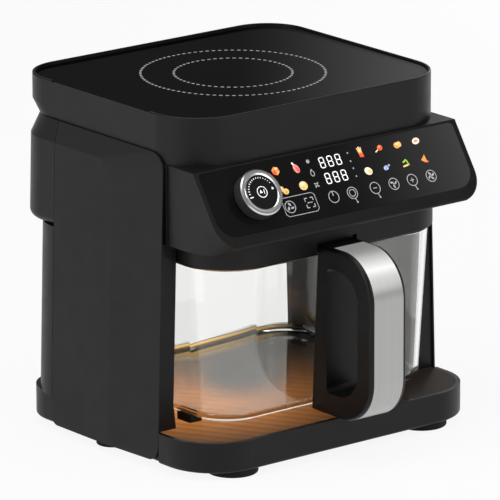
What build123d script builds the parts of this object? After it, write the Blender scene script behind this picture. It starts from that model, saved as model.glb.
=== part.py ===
from build123d import *
import os
from math import atan2, cos, degrees, hypot, radians, sin, sqrt

os.makedirs("parts", exist_ok=True)

# Hob tray, the top of the appliance
shoulder_half = 170.0
tray_width = 2 * shoulder_half - 14.5
tray_depth = 277.0
tray_height = 47.5
tray_front_corner = 53.0
tray_rear_corner = 46.0
tray_wall = 2.5
tray_floor = 2.5
tray_skirt = 10.5
tray_chamfer = 11.5
skirt_set_back = 15.75
hob_recess = 3.0
hob_glass_thick = 4.0
hob_glass_gap = 0.5
seal_thick = 0.8
seal_width = 7.0
ledge_thick = 3.0
notch_depth = 1.8
notch_length = 152.3
notch_front = 62.7
tray_rim_round = 1.0
glass_edge_chamfer = 0.5

# Heights of the main storeys
foot_height = 7.5
base_height = 30.0
riser_height = 24.5
rest_height = 8.0
pot_height = 154.0
rim_gap = 1.5
hood_height = 21.0
head_height = 78.5

# Depths, each set from the tray's front or rear face
pot_lead = 17.5
handle_reach = 81.0
base_lead = 35.0
base_rear_set = 15.75
column_set = 39.25
column_rear_set = 22.75
housing_rear_set = 7.2
panel_lead = 3.75

# Base
base_half = shoulder_half + 4.0
base_front_corner = 55.0
base_rear_corner = 45.0
base_wall = 3.0
base_bottom_round = 2.6
deck_lip = 4.5
deck_thick = 1.8
deck_gap = 0.2
plate_thick = 1.5
plate_gap = 0.4
boss_radius = 5.0
foot_radius = 25.0
side_foot_radius = 16.0
foot_x = base_half - 56.0
foot_front_set = 28.0
side_foot_x = base_half - 20.0
side_foot_y = 45.0
foot_edge_round = 1.5
foot_web = 3.0
foot_well_gap = 0.8
foot_rear_set = 44.0
screw_radius = 1.6
screw_head_radius = 3.2
screw_head_thick = 1.6
screw_length = 9.0
rest_width = 16.0
rest_length = 22.0
rest_x = base_half - 52.0
rest_corner = 3.0
rest_front_set = 63.0
rest_rear_set = 33.0

# Columns and side covers
splay = 0.03
shoulder_drop = 10.5
cover_rise = 10.5
cover_bevel_drop = 4.5
cover_rim_wall = 1.8
cover_wall = 2.5
cover_overlap = 2.0
cover_bevel_run = 73.0
cover_floor_gap = 8.5
cover_top_corner = 18.0
cover_foot_corner = 15.0
cover_rear_corner = 10.0
raised_top_corner = 26.0
raised_foot_corner = 9.0
cover_seam = 0.4
bay_half = shoulder_half - 22.0
column_wall = 2.5
column_rear_corner = 53.0
riser_flare = 3.0

# Head shell, with the sloping control panel in its nose
cheek_half = shoulder_half - 8.5
tub_half = shoulder_half - 7.4
head_wall = 2.6
cheek_gap = 3.0
panel_slope_run = 46.0
panel_slope_drop = 68.0
nose_corner = 28.0
nose_top_corner = 6.0
nose_lip_run = 29.0
panel_glass_half = cheek_half - 5.0
panel_glass_top = 2.0
panel_glass_length = 67.0
panel_glass_thick = 2.5
panel_glass_corner = 20.0
panel_glass_top_corner = 5.0
panel_glass_sink = 0.3
panel_glass_gap = 0.2
panel_wall = 3.0
board_standoff = 6.0
board_thick = 1.6
display_width = 96.0
display_length = 30.0
display_x = 2.0
display_drop = 27.0
display_gap = 0.5
standoff_radius = 3.0
shaft_hole = 4.5
board_half = cheek_half - 19.5
board_hole_inset = 6.0
board_hole_drops = (12.0, 50.0)
board_length = 46.0

# Rear housing
rear_housing_bottom_gap = 15.5
housing_corner = 45.0
housing_top_set = 5.5
housing_wall = 2.5
housing_foot_round = 8.0
vent_width = 190.0
vent_height = 48.0
vent_frame = 3.0
vent_slat_count = 7
vent_slat_thick = 2.2
vent_slat_tilt = 30.0
vent_rib_count = 4
vent_corner = 5.0
vent_drop = 45.0
gland_flange_thick = 2.5
hood_gap = 0.5
gland_bore = 3.7
gland_radius = 7.0
gland_flange = 9.5
gland_length = 16.0
gland_x = 112.0
gland_rise = 12.0

# Hood and cooking chamber
hood_half = bay_half - 1.5
hood_lead = 3.25
hood_rear_lead = 3.5
hood_corner = 50.0
hood_wall = 3.0
hood_ledge = 15.0
handle_notch_half = 24.5
handle_notch_height = 12.0
handle_notch_depth = 4.5
chamber_half = hood_half - 22.5
chamber_front_set = 21.75
chamber_rear_set = 21.5
chamber_corner = 40.0
chamber_depth = 33.0
chamber_sheet = 1.2
pan_lift = 0.6
chamber_flange = 8.0
chamber_gap = 0.3
chamber_round = 8.0
heater_terminal_y = -30.0
guard_pitch = 16.0
guard_spoke = 2.4
insulation_thick = 3.0
guard_thick = 1.2
guard_frame = 6.0
guard_ring_count = 6
guard_ring_width = 2.0
heater_outer = chamber_half - 26.0
heater_inner = heater_outer - 18.0
heater_tube = 3.2
heater_height = 13.0
heater_gap_angle = 24.0
terminal_rise = 14.0
fan_radius = 64.0
fan_hub = 9.0
fan_depth = 9.0
fan_vane_count = 8
fan_height = 18.5
shaft_radius = 3.0
running_gap = 0.06
impeller_radius = 42.0
impeller_depth = 7.0
motor_radius = 32.0
motor_height = 22.0
bracket_width = 34.0
bracket_half = 58.0
bracket_sheet = 2.0
bracket_height = 16.0
bracket_foot = 12.0
fan_disc = 1.0
fan_blade_thick = 1.2
fan_blade_tilt = 18.0
lamp_height = 18.0
lamp_x = -98.0
lamp_y = -52.0
lens_radius = 12.0
probe_x = chamber_half - 13.0
probe_radius = 2.0

# Knob on the panel
knob_x = -102.4
knob_drop = 34.6
knob_radius = 23.4
knob_height = 13.6
knob_lift = 0.6
knob_wall = 2.4
knob_face_radius = 18.2
knob_face_sink = 0.5
knob_chamfer = 1.2
button_radius = 6.4
button_travel = 1.5
button_proud = 0.4
button_depth = 5.0
button_flange = 1.2
button_flange_thick = 1.5
knob_face_thick = 1.2
knob_web = 1.6
encoder_side = 13.0

# Induction hob parts inside the tray
coil_radius = 86.0
coil_inner = 22.0
coil_thick = 6.0
coil_groove_count = 5
carrier_thick = 4.0
carrier_post_radius = 6.0
ferrite_count = 8
ferrite_length = 56.0
ferrite_width = 12.0
ferrite_thick = 4.0
coil_stack = 14.0
carrier_arm = 30.0
hob_board_width = 150.0
hob_board_depth = 34.0
hob_board_rear_set = 39.0
post_inset = 5.0
heatsink_length = 48.0
heatsink_depth = 26.0
heatsink_base = 4.0
heatsink_height = 16.0
fin_pitch = 6.0
fin_thick = 1.6
fin_count = 8
capacitor_radius = 8.0
capacitor_height = 18.0
capacitor_places = (20.0, 44.0)

# Rear cooling fan and power board
power_standoff = 14.0
rear_fan_side = 58.0
rear_fan_depth = 14.0
rear_fan_bore = 27.0
rear_fan_x = 62.0
rear_fan_hub = 11.0
rear_fan_pin = 1.5
rear_fan_blade_count = 7
power_board_width = 130.0
power_board_height = 62.0
power_board_x = -45.0
choke_width = 30.0
choke_length = 34.0
choke_height = 16.0
choke_offset = 35.0
relay_width = 18.0
relay_length = 22.0
relay_offset = 5.0
relay_drop = 10.0
small_capacitor_radius = 7.0
small_capacitor_height = 20.0
small_capacitor_rise = 12.0
small_capacitor_places = (32.0, 50.0)

# Glass pot
pot_half = hood_half - 3.5
pot_draft = 8.5
pot_rear_set = 51.25
pot_corner = 50.0
pot_wall = 4.0
pot_floor_thick = 6.5
pot_foot_round = 7.0
pot_inner_round = 10.0
screw_hole = 3.3
pot_rim_round = 1.2
pot_screw_radius = 2.5
pot_screw_length = 13.0
pot_screw_head = 2.4
clamp_half = 9.0
clamp_thick = 1.5
magnet_rise = 6.0
magnet_radius = 3.5
magnet_thick = 3.0
pot_screw_low = 26.0
pot_screw_high = 122.0

# Handle
grip_half = 22.0
grip_leg = 13.0
grip_arm = 20.5
grip_top_rise = 10.5
grip_foot_drop = 2.5
grip_corner = 45.0
grip_window_foot = 22.0
grip_window_top = 20.0
grip_window_corner = 28.0
grip_window_inner_corner = 6.0
grip_edge_round = 3.0
gasket_thick = 1.0
strip_half = 18.0
strip_thick = 1.2
strip_top_set = 20.0
strip_foot_set = 40.0

# Places worked out from the values above
back_y = (tray_depth + pot_lead + handle_reach) / 2
handle_front = -back_y
tray_front = back_y - tray_depth
tray_half = tray_width / 2
tray_mid = (tray_front + back_y) / 2
deck_top = foot_height + base_height
riser_top = deck_top + riser_height
pot_floor = deck_top + rest_height
pot_rim = pot_floor + pot_height
hood_bottom = pot_rim + rim_gap
head_bottom = hood_bottom + hood_height
head_top = head_bottom + head_height
top_z = head_top + tray_height
base_front = tray_front - base_lead
base_rear = back_y - base_rear_set
column_front = tray_front + column_set
column_rear = back_y - column_rear_set
seam_y = column_rear - column_rear_corner
cover_front = column_front - cover_overlap
cover_depth = cover_bevel_drop + cover_rim_wall
housing_rear = back_y - housing_rear_set
housing_bottom = head_bottom - rear_housing_bottom_gap
gland_z = head_bottom + gland_rise
magnet_z = pot_rim + magnet_rise
shoulder_z = head_top - shoulder_drop
cover_top = head_top + cover_rise
pot_front = tray_front - pot_lead
pot_rear = back_y - pot_rear_set
pot_mid = (pot_front + pot_rear) / 2
hood_front = pot_front - hood_lead
hood_rear = pot_rear + hood_rear_lead
chamber_front = hood_front + chamber_front_set
chamber_rear = hood_rear - chamber_rear_set
chamber_mid = (chamber_front + chamber_rear) / 2
chamber_top = head_bottom + chamber_depth
vent_z = head_top - vent_drop
slat_pitch = vent_height / (vent_slat_count + 1)
slat_places = [(i + 1) * slat_pitch - vent_height / 2 for i in range(vent_slat_count)]
rib_pitch = vent_width / (vent_rib_count + 1)
rib_places = [(i + 1) * rib_pitch - vent_width / 2 for i in range(vent_rib_count)]
power_hole_x = power_board_width / 2 - post_inset
power_hole_z = power_board_height / 2 - standoff_radius
power_board_holes = [
    (power_board_x + side * power_hole_x, vent_z + level * power_hole_z)
    for side in (-1, 1)
    for level in (-1, 1)
]
carrier_z = top_z - hob_recess - hob_glass_thick - coil_stack
carrier_angles = [45 + 90 * i for i in range(4)]
ferrite_angles = [22.5 + i * 360 / ferrite_count for i in range(ferrite_count)]
carrier_arm_x = coil_radius + post_inset
carrier_reach = carrier_arm_x + carrier_arm / 2 - carrier_post_radius
carrier_posts = [
    (carrier_reach * cos(radians(angle)), tray_mid + carrier_reach * sin(radians(angle)))
    for angle in carrier_angles
]
hob_board_y = back_y - hob_board_rear_set
hob_board_posts = [
    (side_x * (hob_board_width / 2 - post_inset), hob_board_y + side_y * (hob_board_depth / 2 - post_inset))
    for side_x in (-1, 1)
    for side_y in (-1, 1)
]
lean = hypot(1, splay)


def cover_half(z):
    return shoulder_half + splay * (shoulder_z - z)


def bay_side(z):
    return bay_half + splay * (head_bottom - z)


def outline(z, half, front, rear, front_corner, rear_corner):
    with BuildSketch(Plane.XY.offset(z)) as plan:
        with Locations((0, (front + rear) / 2)):
            Rectangle(2 * half, rear - front)
        fillet(plan.vertices().group_by(Axis.Y)[0], front_corner)
        fillet(plan.vertices().group_by(Axis.Y)[-1], rear_corner)
    return plan.sketch


def save(piece, name):
    piece.part.label = name
    export_step(piece.part, f"parts/{name}.step")


# Base shell: open below, with a riser for each column and recesses for the side covers
cover_recess = cover_half(foot_height) - cover_depth - 1.0


def base_plan(z, inset):
    with BuildSketch(Plane.XY.offset(z)) as plan:
        add(
            outline(
                0,
                base_half - inset,
                base_front + inset,
                base_rear - inset,
                base_front_corner - inset,
                base_rear_corner - inset,
            )
        )
        recess_front = cover_front - 1.5 - inset
        recess_rear = seam_y + inset
        with Locations((0, (recess_front + recess_rear) / 2)):
            Rectangle(4 * base_half, recess_rear - recess_front, mode=Mode.SUBTRACT)
            Rectangle(2 * (cover_recess - inset), recess_rear - recess_front + 2)
    return plan.sketch


def post_plan(z, side):
    inner = bay_side(z)
    outer = cover_half(z) - cover_depth * lean
    skin = cover_half(z)
    centre = skin - column_rear_corner
    arc_end = seam_y + sqrt(column_rear_corner**2 - (inner - centre) ** 2)
    turn = atan2(arc_end - seam_y, inner - centre) / 2
    arc_mid = (centre + column_rear_corner * cos(turn), seam_y + column_rear_corner * sin(turn))
    with BuildSketch(Plane.XY.offset(z)) as plan:
        with BuildLine():
            Polyline(
                (side * inner, arc_end),
                (side * inner, column_front),
                (side * outer, column_front),
                (side * outer, seam_y),
                (side * skin, seam_y),
            )
            ThreePointArc(
                (side * skin, seam_y),
                (side * arc_mid[0], arc_mid[1]),
                (side * inner, arc_end),
            )
        make_face()
    return plan.sketch


def riser_plan(z, side, flare):
    inner = bay_side(riser_top) - flare
    outer = cover_half(riser_top) - cover_depth * lean
    with BuildSketch(Plane.XY.offset(z)) as plan:
        with Locations((side * (inner + outer) / 2, (column_front + seam_y) / 2)):
            Rectangle(outer - inner, seam_y - column_front)
    return plan.sketch


boss_places = [
    (side * x, y)
    for side in (-1, 1)
    for x, y in (
        (foot_x, base_front + foot_front_set),
        (side_foot_x, side_foot_y),
        (foot_x, base_rear - foot_rear_set),
    )
]
plate_top = foot_height + plate_thick
riser_root = deck_top - deck_thick
boss_height = base_height - plate_thick - base_wall
low_middle = (Align.CENTER, Align.CENTER, Align.MIN)
high_middle = (Align.CENTER, Align.CENTER, Align.MAX)


def deck_plan(z, inset):
    with BuildSketch(Plane.XY.offset(z)) as plan:
        add(
            outline(
                0,
                base_half - inset,
                base_front + inset,
                base_rear - inset,
                base_front_corner - inset,
                base_rear_corner - inset,
            )
        )
        riser_inner = bay_side(riser_top) - riser_flare - (inset - deck_lip)
        cut_front = column_front - (inset - deck_lip)
        cut_length = base_rear - cut_front
        for side in (-1, 1):
            with Locations((side * (riser_inner + base_half) / 2, cut_front + cut_length / 2)):
                Rectangle(base_half - riser_inner, cut_length, mode=Mode.SUBTRACT)
    return plan.sketch


with BuildPart() as base_shell:
    extrude(base_plan(foot_height, 0), amount=base_height)
    fillet(base_shell.edges().group_by(Axis.Z)[0], base_bottom_round)
    extrude(base_plan(foot_height, base_wall), amount=base_height - base_wall, mode=Mode.SUBTRACT)
    for side in (-1, 1):
        loft([riser_plan(riser_root, side, riser_flare), riser_plan(riser_top, side, 0)])
        loft([post_plan(riser_root, side), post_plan(riser_top, side)], ruled=True)
    with Locations([(x, y, plate_top) for x, y in boss_places]):
        Cylinder(boss_radius, boss_height + 0.5, align=low_middle)
    with Locations([(x, y, plate_top) for x, y in boss_places]):
        Cylinder(screw_radius, screw_length - plate_thick, align=low_middle, mode=Mode.SUBTRACT)
    extrude(deck_plan(deck_top, deck_lip), amount=-deck_thick, mode=Mode.SUBTRACT)
save(base_shell, "base_shell")

with BuildPart() as deck_panel:
    extrude(deck_plan(deck_top, deck_lip + deck_gap), amount=-deck_thick)
save(deck_panel, "deck_panel")

with BuildPart() as bottom_plate:
    extrude(base_plan(foot_height, base_wall + plate_gap), amount=plate_thick)
    with Locations([(x, y, foot_height) for x, y in boss_places]):
        Cylinder(screw_radius, plate_thick, align=low_middle, mode=Mode.SUBTRACT)
save(bottom_plate, "bottom_plate")


# Rubber feet, each with a well for the screw that holds it and the bottom plate
def feet(name, row, radius):
    with BuildPart() as pair:
        places = [(side * row[0], row[1], 0) for side in (-1, 1)]
        with Locations(places):
            Cylinder(radius, foot_height, align=low_middle)
        fillet(pair.edges().group_by(Axis.Z)[0], foot_edge_round)
        with Locations(places):
            Cylinder(
                screw_head_radius + foot_well_gap,
                foot_height - foot_web,
                align=low_middle,
                mode=Mode.SUBTRACT,
            )
            Cylinder(screw_radius, foot_height, align=low_middle, mode=Mode.SUBTRACT)
    save(pair, name)


feet("front_feet", boss_places[0], foot_radius)
feet("side_feet", boss_places[1], side_foot_radius)
feet("rear_feet", boss_places[2], foot_radius)

with BuildPart() as base_screws:
    head_z = foot_height - foot_web
    with Locations([(x, y, head_z) for x, y in boss_places]):
        Cylinder(screw_head_radius, screw_head_thick, align=high_middle)
        Cylinder(screw_radius, screw_length, align=low_middle)
save(base_screws, "base_screws")

with BuildPart() as pot_rests:
    rest_places = [
        (side * rest_x, y)
        for side in (-1, 1)
        for y in (pot_front + pot_draft + rest_front_set, pot_rear - pot_draft - rest_rear_set)
    ]
    with BuildSketch(Plane.XY.offset(deck_top)):
        with Locations(rest_places):
            RectangleRounded(rest_width, rest_length, rest_corner)
    extrude(amount=rest_height)
save(pot_rests, "pot_rests")


# Columns: leaning posts whose rear corner shows and whose front part carries the cover
def post_hollow(z, side):
    inner = bay_side(z) + column_wall
    outer = cover_half(z)
    front = column_front + column_wall
    rear = seam_y - column_wall
    with BuildSketch(Plane.XY.offset(z)) as plan:
        with Locations((side * (inner + outer) / 2, (front + rear) / 2)):
            Rectangle(outer - inner, rear - front)
    return plan.sketch


def column(name, side):
    with BuildPart() as post:
        loft([post_plan(riser_top, side), post_plan(head_bottom, side)], ruled=True)
        loft(
            [post_hollow(riser_top - 1, side), post_hollow(head_bottom + 1, side)],
            ruled=True,
            mode=Mode.SUBTRACT,
        )
        with Locations((0, seam_y, housing_bottom)):
            Box(
                4 * base_half,
                column_rear_corner * 2,
                head_height,
                align=(Align.CENTER, Align.MIN, Align.MIN),
                mode=Mode.SUBTRACT,
            )
    save(post, name)
    return post


left_column = column("left_column", -1)
right_column = column("right_column", 1)


# Side cover: a raised face with broad bevels down to a thin rim, leaning with the column
cover_plane = Plane(origin=(shoulder_half, 0, shoulder_z), x_dir=(0, 1, 0), z_dir=(1, 0, splay))
cover_low = (cover_floor_gap - shoulder_z) * lean
cover_high = (cover_top - shoulder_z) * lean
cover_back = seam_y - cover_seam


def cover_outline(depth, front, high, top_corner, foot_corner, inset=0.0):
    with BuildSketch(cover_plane.offset(-depth)) as plan:
        low = cover_low + inset
        back = cover_back - inset
        with Locations(((front + back) / 2, (low + high) / 2)):
            Rectangle(back - front, high - low)
        front_corners = plan.vertices().group_by(Axis.X)[0].sort_by(Axis.Y)
        fillet(front_corners[-1], top_corner)
        front_corners = plan.vertices().group_by(Axis.X)[0].sort_by(Axis.Y)
        fillet(front_corners[0], foot_corner)
        rear_corners = plan.vertices().group_by(Axis.X)[-1].sort_by(Axis.Y)
        fillet(rear_corners[0], cover_rear_corner - inset)
    return plan.sketch


with BuildPart() as right_side_cover:
    rim = cover_outline(cover_bevel_drop, cover_front, cover_high, cover_top_corner, cover_foot_corner)
    raised = cover_outline(0, cover_front + cover_bevel_run, 0, raised_top_corner, raised_foot_corner)
    loft([rim, raised], ruled=True)
    extrude(rim, amount=-cover_rim_wall)
    hollow = cover_outline(
        cover_depth,
        cover_front + cover_bevel_run + cover_wall,
        -cover_wall,
        raised_top_corner - cover_wall,
        raised_foot_corner - cover_wall,
        cover_wall,
    )
    extrude(hollow, amount=cover_depth - cover_wall, mode=Mode.SUBTRACT)
save(right_side_cover, "right_side_cover")

with BuildPart() as left_side_cover:
    mirror(right_side_cover.part, about=Plane.YZ)
save(left_side_cover, "left_side_cover")


# Head shell: a nose with the sloping panel in front, and a tub that holds the cooking chamber
panel_run = hypot(panel_slope_run, panel_slope_drop)
slope_y = -panel_slope_run / panel_run
slope_z = -panel_slope_drop / panel_run
panel_top_y = tray_front - panel_lead
nose_back = cover_front - cheek_gap
panel_plane = Plane(origin=(0, panel_top_y, head_top), x_dir=(1, 0, 0), z_dir=(0, slope_z, -slope_y))
tongue_rear = hood_rear + 8.0


def nose_side(x, inset):
    lip_y = panel_top_y - panel_slope_run
    lip_z = head_top - panel_slope_drop
    with BuildSketch(Plane.YZ.offset(x)) as side_view:
        with BuildLine():
            Polyline(
                (nose_back, head_top),
                (panel_top_y, head_top),
                (lip_y, lip_z),
                (lip_y + nose_lip_run, head_bottom),
                (nose_back, head_bottom),
                close=True,
            )
        make_face()
        if inset:
            offset(amount=-inset, kind=Kind.INTERSECTION, mode=Mode.REPLACE)
    return side_view.sketch


def panel_outline(depth, half, top, length, top_corner, low_corner):
    with BuildSketch(panel_plane.offset(-depth)) as frame:
        with Locations((0, -top - length / 2)):
            Rectangle(2 * half, length)
        fillet(frame.vertices().group_by(Axis.Y)[0], low_corner)
        fillet(frame.vertices().group_by(Axis.Y)[-1], top_corner)
    return frame.sketch


glass_sink = panel_glass_sink + panel_glass_thick
board_depth = glass_sink + panel_wall + board_standoff
knob_axis_place = (knob_x, -knob_drop)
display_place = (display_x, -display_drop)
board_places = [
    (side * (board_half - board_hole_inset), -panel_glass_top - drop)
    for side in (-1, 1)
    for drop in board_hole_drops
]
tub_mid = (nose_back + seam_y) / 2
tub_length = seam_y - nose_back


def nose_block(inset):
    half = cheek_half - inset
    reach = panel_run + head_height
    extrude(nose_side(-half, inset), amount=2 * half)
    extrude(
        panel_outline(
            -head_height,
            half,
            -head_height,
            reach - inset,
            nose_top_corner,
            nose_corner - inset,
        ),
        amount=-3 * head_height,
        mode=Mode.INTERSECT,
    )


with BuildPart() as nose_hollow:
    nose_block(head_wall)

with BuildPart() as head_shell:
    nose_block(0)
    front_edge = head_shell.edges().filter_by(Axis.X).sort_by(Axis.Y)[0]
    fillet(front_edge, 2.0)
    with Locations((0, tub_mid, head_bottom)):
        Box(2 * tub_half, tub_length, head_height, align=low_middle)
    with BuildSketch(Plane.XY.offset(head_bottom)):
        with Locations((0, (seam_y + tongue_rear) / 2)):
            Rectangle(2 * (bay_half + 6.0), tongue_rear - seam_y)
    extrude(amount=head_wall)
    add(nose_hollow.part, mode=Mode.SUBTRACT)
    with Locations((0, tub_mid + head_wall, head_bottom + head_wall)):
        Box(
            2 * (tub_half - head_wall),
            tub_length + 4 * head_wall,
            head_height,
            align=low_middle,
            mode=Mode.SUBTRACT,
        )
    extrude(
        panel_outline(
            glass_sink,
            cheek_half - 1.0,
            1.0,
            panel_run - 5.0,
            nose_top_corner,
            nose_corner,
        ),
        amount=-panel_wall,
    )
    extrude(
        panel_outline(
            0,
            panel_glass_half + panel_glass_gap,
            panel_glass_top - panel_glass_gap,
            panel_glass_length + 2 * panel_glass_gap,
            panel_glass_top_corner,
            panel_glass_corner,
        ),
        amount=-glass_sink,
        mode=Mode.SUBTRACT,
    )
    with BuildSketch(panel_plane.offset(-glass_sink)):
        with Locations(board_places):
            Circle(standoff_radius)
    extrude(amount=-(panel_wall + board_standoff))
    with BuildSketch(panel_plane):
        with Locations(knob_axis_place):
            Circle(shaft_hole)
        with Locations(display_place):
            Rectangle(display_width + 2 * display_gap, display_length + 2 * display_gap)
    extrude(amount=-(glass_sink + panel_wall + 1.0), mode=Mode.SUBTRACT)
    extrude(
        outline(
            head_bottom, chamber_half, chamber_front, chamber_rear, chamber_corner, chamber_corner
        ),
        amount=head_wall,
        mode=Mode.SUBTRACT,
    )
save(head_shell, "head_shell")


# Rear housing: leans with the covers, bulges behind the columns and closes in below the tray
housing_top_rear = housing_rear - housing_top_set


def housing_plan(z, half, rear, corner, inset):
    front = seam_y - column_rear_corner
    return outline(z, half - inset, front, rear - inset, 5.0, corner - inset)


def housing_body(inset, low, high):
    top_half = cover_half(cover_top) - cover_bevel_drop
    low_plan = housing_plan(low, cover_half(low), housing_rear, housing_corner, inset)
    mid_plan = housing_plan(shoulder_z, shoulder_half, housing_rear, housing_corner, inset)
    top_inset = min(inset, cover_rim_wall)
    top_corner = housing_corner + housing_top_set
    top_plan = housing_plan(high, top_half, housing_top_rear, top_corner, top_inset)
    return low_plan, mid_plan, top_plan


with BuildPart() as rear_housing:
    low_plan, mid_plan, top_plan = housing_body(0, housing_bottom, cover_top)
    loft([low_plan, mid_plan], ruled=True)
    loft([mid_plan, top_plan], ruled=True)
    fillet(rear_housing.edges().group_by(Axis.Z)[0], housing_foot_round)
    with Locations((0, seam_y, housing_bottom)):
        Box(
            4 * base_half,
            4 * base_half,
            2 * head_height,
            align=(Align.CENTER, Align.MAX, Align.MIN),
            mode=Mode.SUBTRACT,
        )
    low_plan, mid_plan, top_plan = housing_body(housing_wall, housing_bottom + housing_wall, cover_top)
    loft([low_plan, mid_plan], ruled=True, mode=Mode.SUBTRACT)
    loft([mid_plan, top_plan], ruled=True, mode=Mode.SUBTRACT)
    extrude(
        outline(
            housing_bottom,
            hood_half + hood_gap,
            hood_front,
            hood_rear + hood_gap,
            hood_corner,
            hood_corner + hood_gap,
        ),
        amount=housing_wall,
        mode=Mode.SUBTRACT,
    )
    with BuildSketch(Plane.XZ.offset(-housing_rear)):
        with Locations((0, vent_z)):
            RectangleRounded(vent_width, vent_height, vent_corner)
        with Locations((gland_x, gland_z)):
            Circle(gland_radius)
    extrude(amount=2 * housing_wall, mode=Mode.SUBTRACT)
    with BuildSketch(Plane.XZ.offset(-(housing_rear - housing_wall))):
        with Locations(power_board_holes):
            Circle(standoff_radius)
    extrude(amount=power_standoff)
save(rear_housing, "rear_housing")

with BuildPart() as rear_vent_grille:
    grille_front = Plane.XZ.offset(-housing_rear)
    with BuildSketch(grille_front):
        with Locations((0, vent_z)):
            RectangleRounded(vent_width, vent_height, vent_corner)
            Rectangle(vent_width - 2 * vent_frame, vent_height - 2 * vent_frame, mode=Mode.SUBTRACT)
    extrude(amount=housing_wall)
    with BuildSketch(Plane.YZ.offset(-vent_width / 2 + vent_frame / 2)):
        with Locations([(housing_rear - housing_wall / 2, vent_z + z) for z in slat_places]):
            Rectangle(housing_wall * 1.6, vent_slat_thick, rotation=-vent_slat_tilt)
    extrude(amount=vent_width - vent_frame)
    with BuildSketch(grille_front):
        with Locations([(x, vent_z) for x in rib_places]):
            Rectangle(vent_slat_thick, vent_height - vent_frame)
    extrude(amount=housing_wall)
    with Locations((0, housing_rear, vent_z)):
        Box(
            vent_width * 2,
            housing_wall * 4,
            vent_height * 2,
            align=(Align.CENTER, Align.MIN, Align.CENTER),
            mode=Mode.SUBTRACT,
        )
    with Locations((0, housing_rear - housing_wall, vent_z)):
        Box(
            vent_width * 2,
            housing_wall * 4,
            vent_height * 2,
            align=(Align.CENTER, Align.MAX, Align.CENTER),
            mode=Mode.SUBTRACT,
        )
save(rear_vent_grille, "rear_vent_grille")

with BuildPart() as cord_gland:
    gland_plane = Plane.XZ.offset(-housing_rear)
    with BuildSketch(gland_plane):
        with Locations((gland_x, gland_z)):
            Circle(gland_flange)
    extrude(amount=-gland_flange_thick)
    with BuildSketch(gland_plane):
        with Locations((gland_x, gland_z)):
            Circle(gland_radius)
    extrude(amount=gland_length)
    with BuildSketch(gland_plane.offset(gland_flange_thick)):
        with Locations((gland_x, gland_z)):
            Circle(gland_bore)
    extrude(amount=gland_length * 2, both=True, mode=Mode.SUBTRACT)
    chamfer(cord_gland.edges().group_by(Axis.Y)[-1].sort_by(SortBy.LENGTH)[-1], 0.8)
save(cord_gland, "cord_gland")

# Tray housing: a skirt that drops into the head, and a chamfer where it overhangs the rear
skirt_rear = back_y - skirt_set_back
skirt_top = head_top + tray_skirt
skirt_corner = housing_corner + 3.5
glass_top = top_z - hob_recess
glass_bottom = glass_top - hob_glass_thick
ledge_z = glass_bottom - seal_thick
floor_z = head_top + tray_floor
overhang_top = skirt_top + tray_chamfer + tray_wall


def tray_plan(z, inset):
    return outline(
        z,
        tray_half - inset,
        tray_front + inset,
        back_y - inset,
        tray_front_corner - inset,
        tray_rear_corner - inset,
    )


with BuildPart() as tray_housing:
    chamfer_foot = outline(
        skirt_top,
        tray_half,
        tray_front,
        back_y - tray_chamfer,
        tray_front_corner,
        tray_rear_corner,
    )
    loft([chamfer_foot, tray_plan(skirt_top + tray_chamfer, 0)], ruled=True)
    extrude(
        tray_plan(skirt_top + tray_chamfer, 0),
        amount=tray_height - tray_skirt - tray_chamfer,
    )
    extrude(
        outline(head_top, tray_half, tray_front, skirt_rear, tray_front_corner, skirt_corner),
        amount=tray_skirt,
    )
    fillet(tray_housing.edges().group_by(Axis.Z)[-1], tray_rim_round)
    extrude(tray_plan(top_z, tray_wall), amount=-(top_z - ledge_z), mode=Mode.SUBTRACT)
    extrude(
        tray_plan(ledge_z, tray_wall + seal_width),
        amount=-(ledge_z - overhang_top),
        mode=Mode.SUBTRACT,
    )
    extrude(
        tray_plan(ledge_z - ledge_thick, tray_wall),
        amount=-(ledge_z - ledge_thick - overhang_top),
        mode=Mode.SUBTRACT,
    )
    extrude(
        outline(
            overhang_top,
            tray_half - tray_wall,
            tray_front + tray_wall,
            skirt_rear - tray_wall,
            tray_front_corner - tray_wall,
            skirt_corner - tray_wall,
        ),
        amount=-(overhang_top - floor_z),
        mode=Mode.SUBTRACT,
    )
    with Locations([(x, y, floor_z) for x, y in carrier_posts]):
        Cylinder(carrier_post_radius, carrier_z - floor_z, align=low_middle)
    with Locations([(x, y, floor_z) for x, y in hob_board_posts]):
        Cylinder(standoff_radius, board_standoff, align=low_middle)
    with Locations((-tray_half, tray_front + notch_front + notch_length / 2, top_z)):
        Box(4 * tray_wall, notch_length, 2 * notch_depth, mode=Mode.SUBTRACT)
save(tray_housing, "tray_housing")

with BuildPart() as glass_seal:
    extrude(tray_plan(ledge_z, tray_wall + hob_glass_gap), amount=seal_thick)
    extrude(tray_plan(ledge_z, tray_wall + seal_width), amount=seal_thick, mode=Mode.SUBTRACT)
save(glass_seal, "glass_seal")

with BuildPart() as hob_glass:
    extrude(tray_plan(glass_bottom, tray_wall + hob_glass_gap), amount=hob_glass_thick)
    chamfer(hob_glass.edges().group_by(Axis.Z)[-1], glass_edge_chamfer)
save(hob_glass, "hob_glass")

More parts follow.
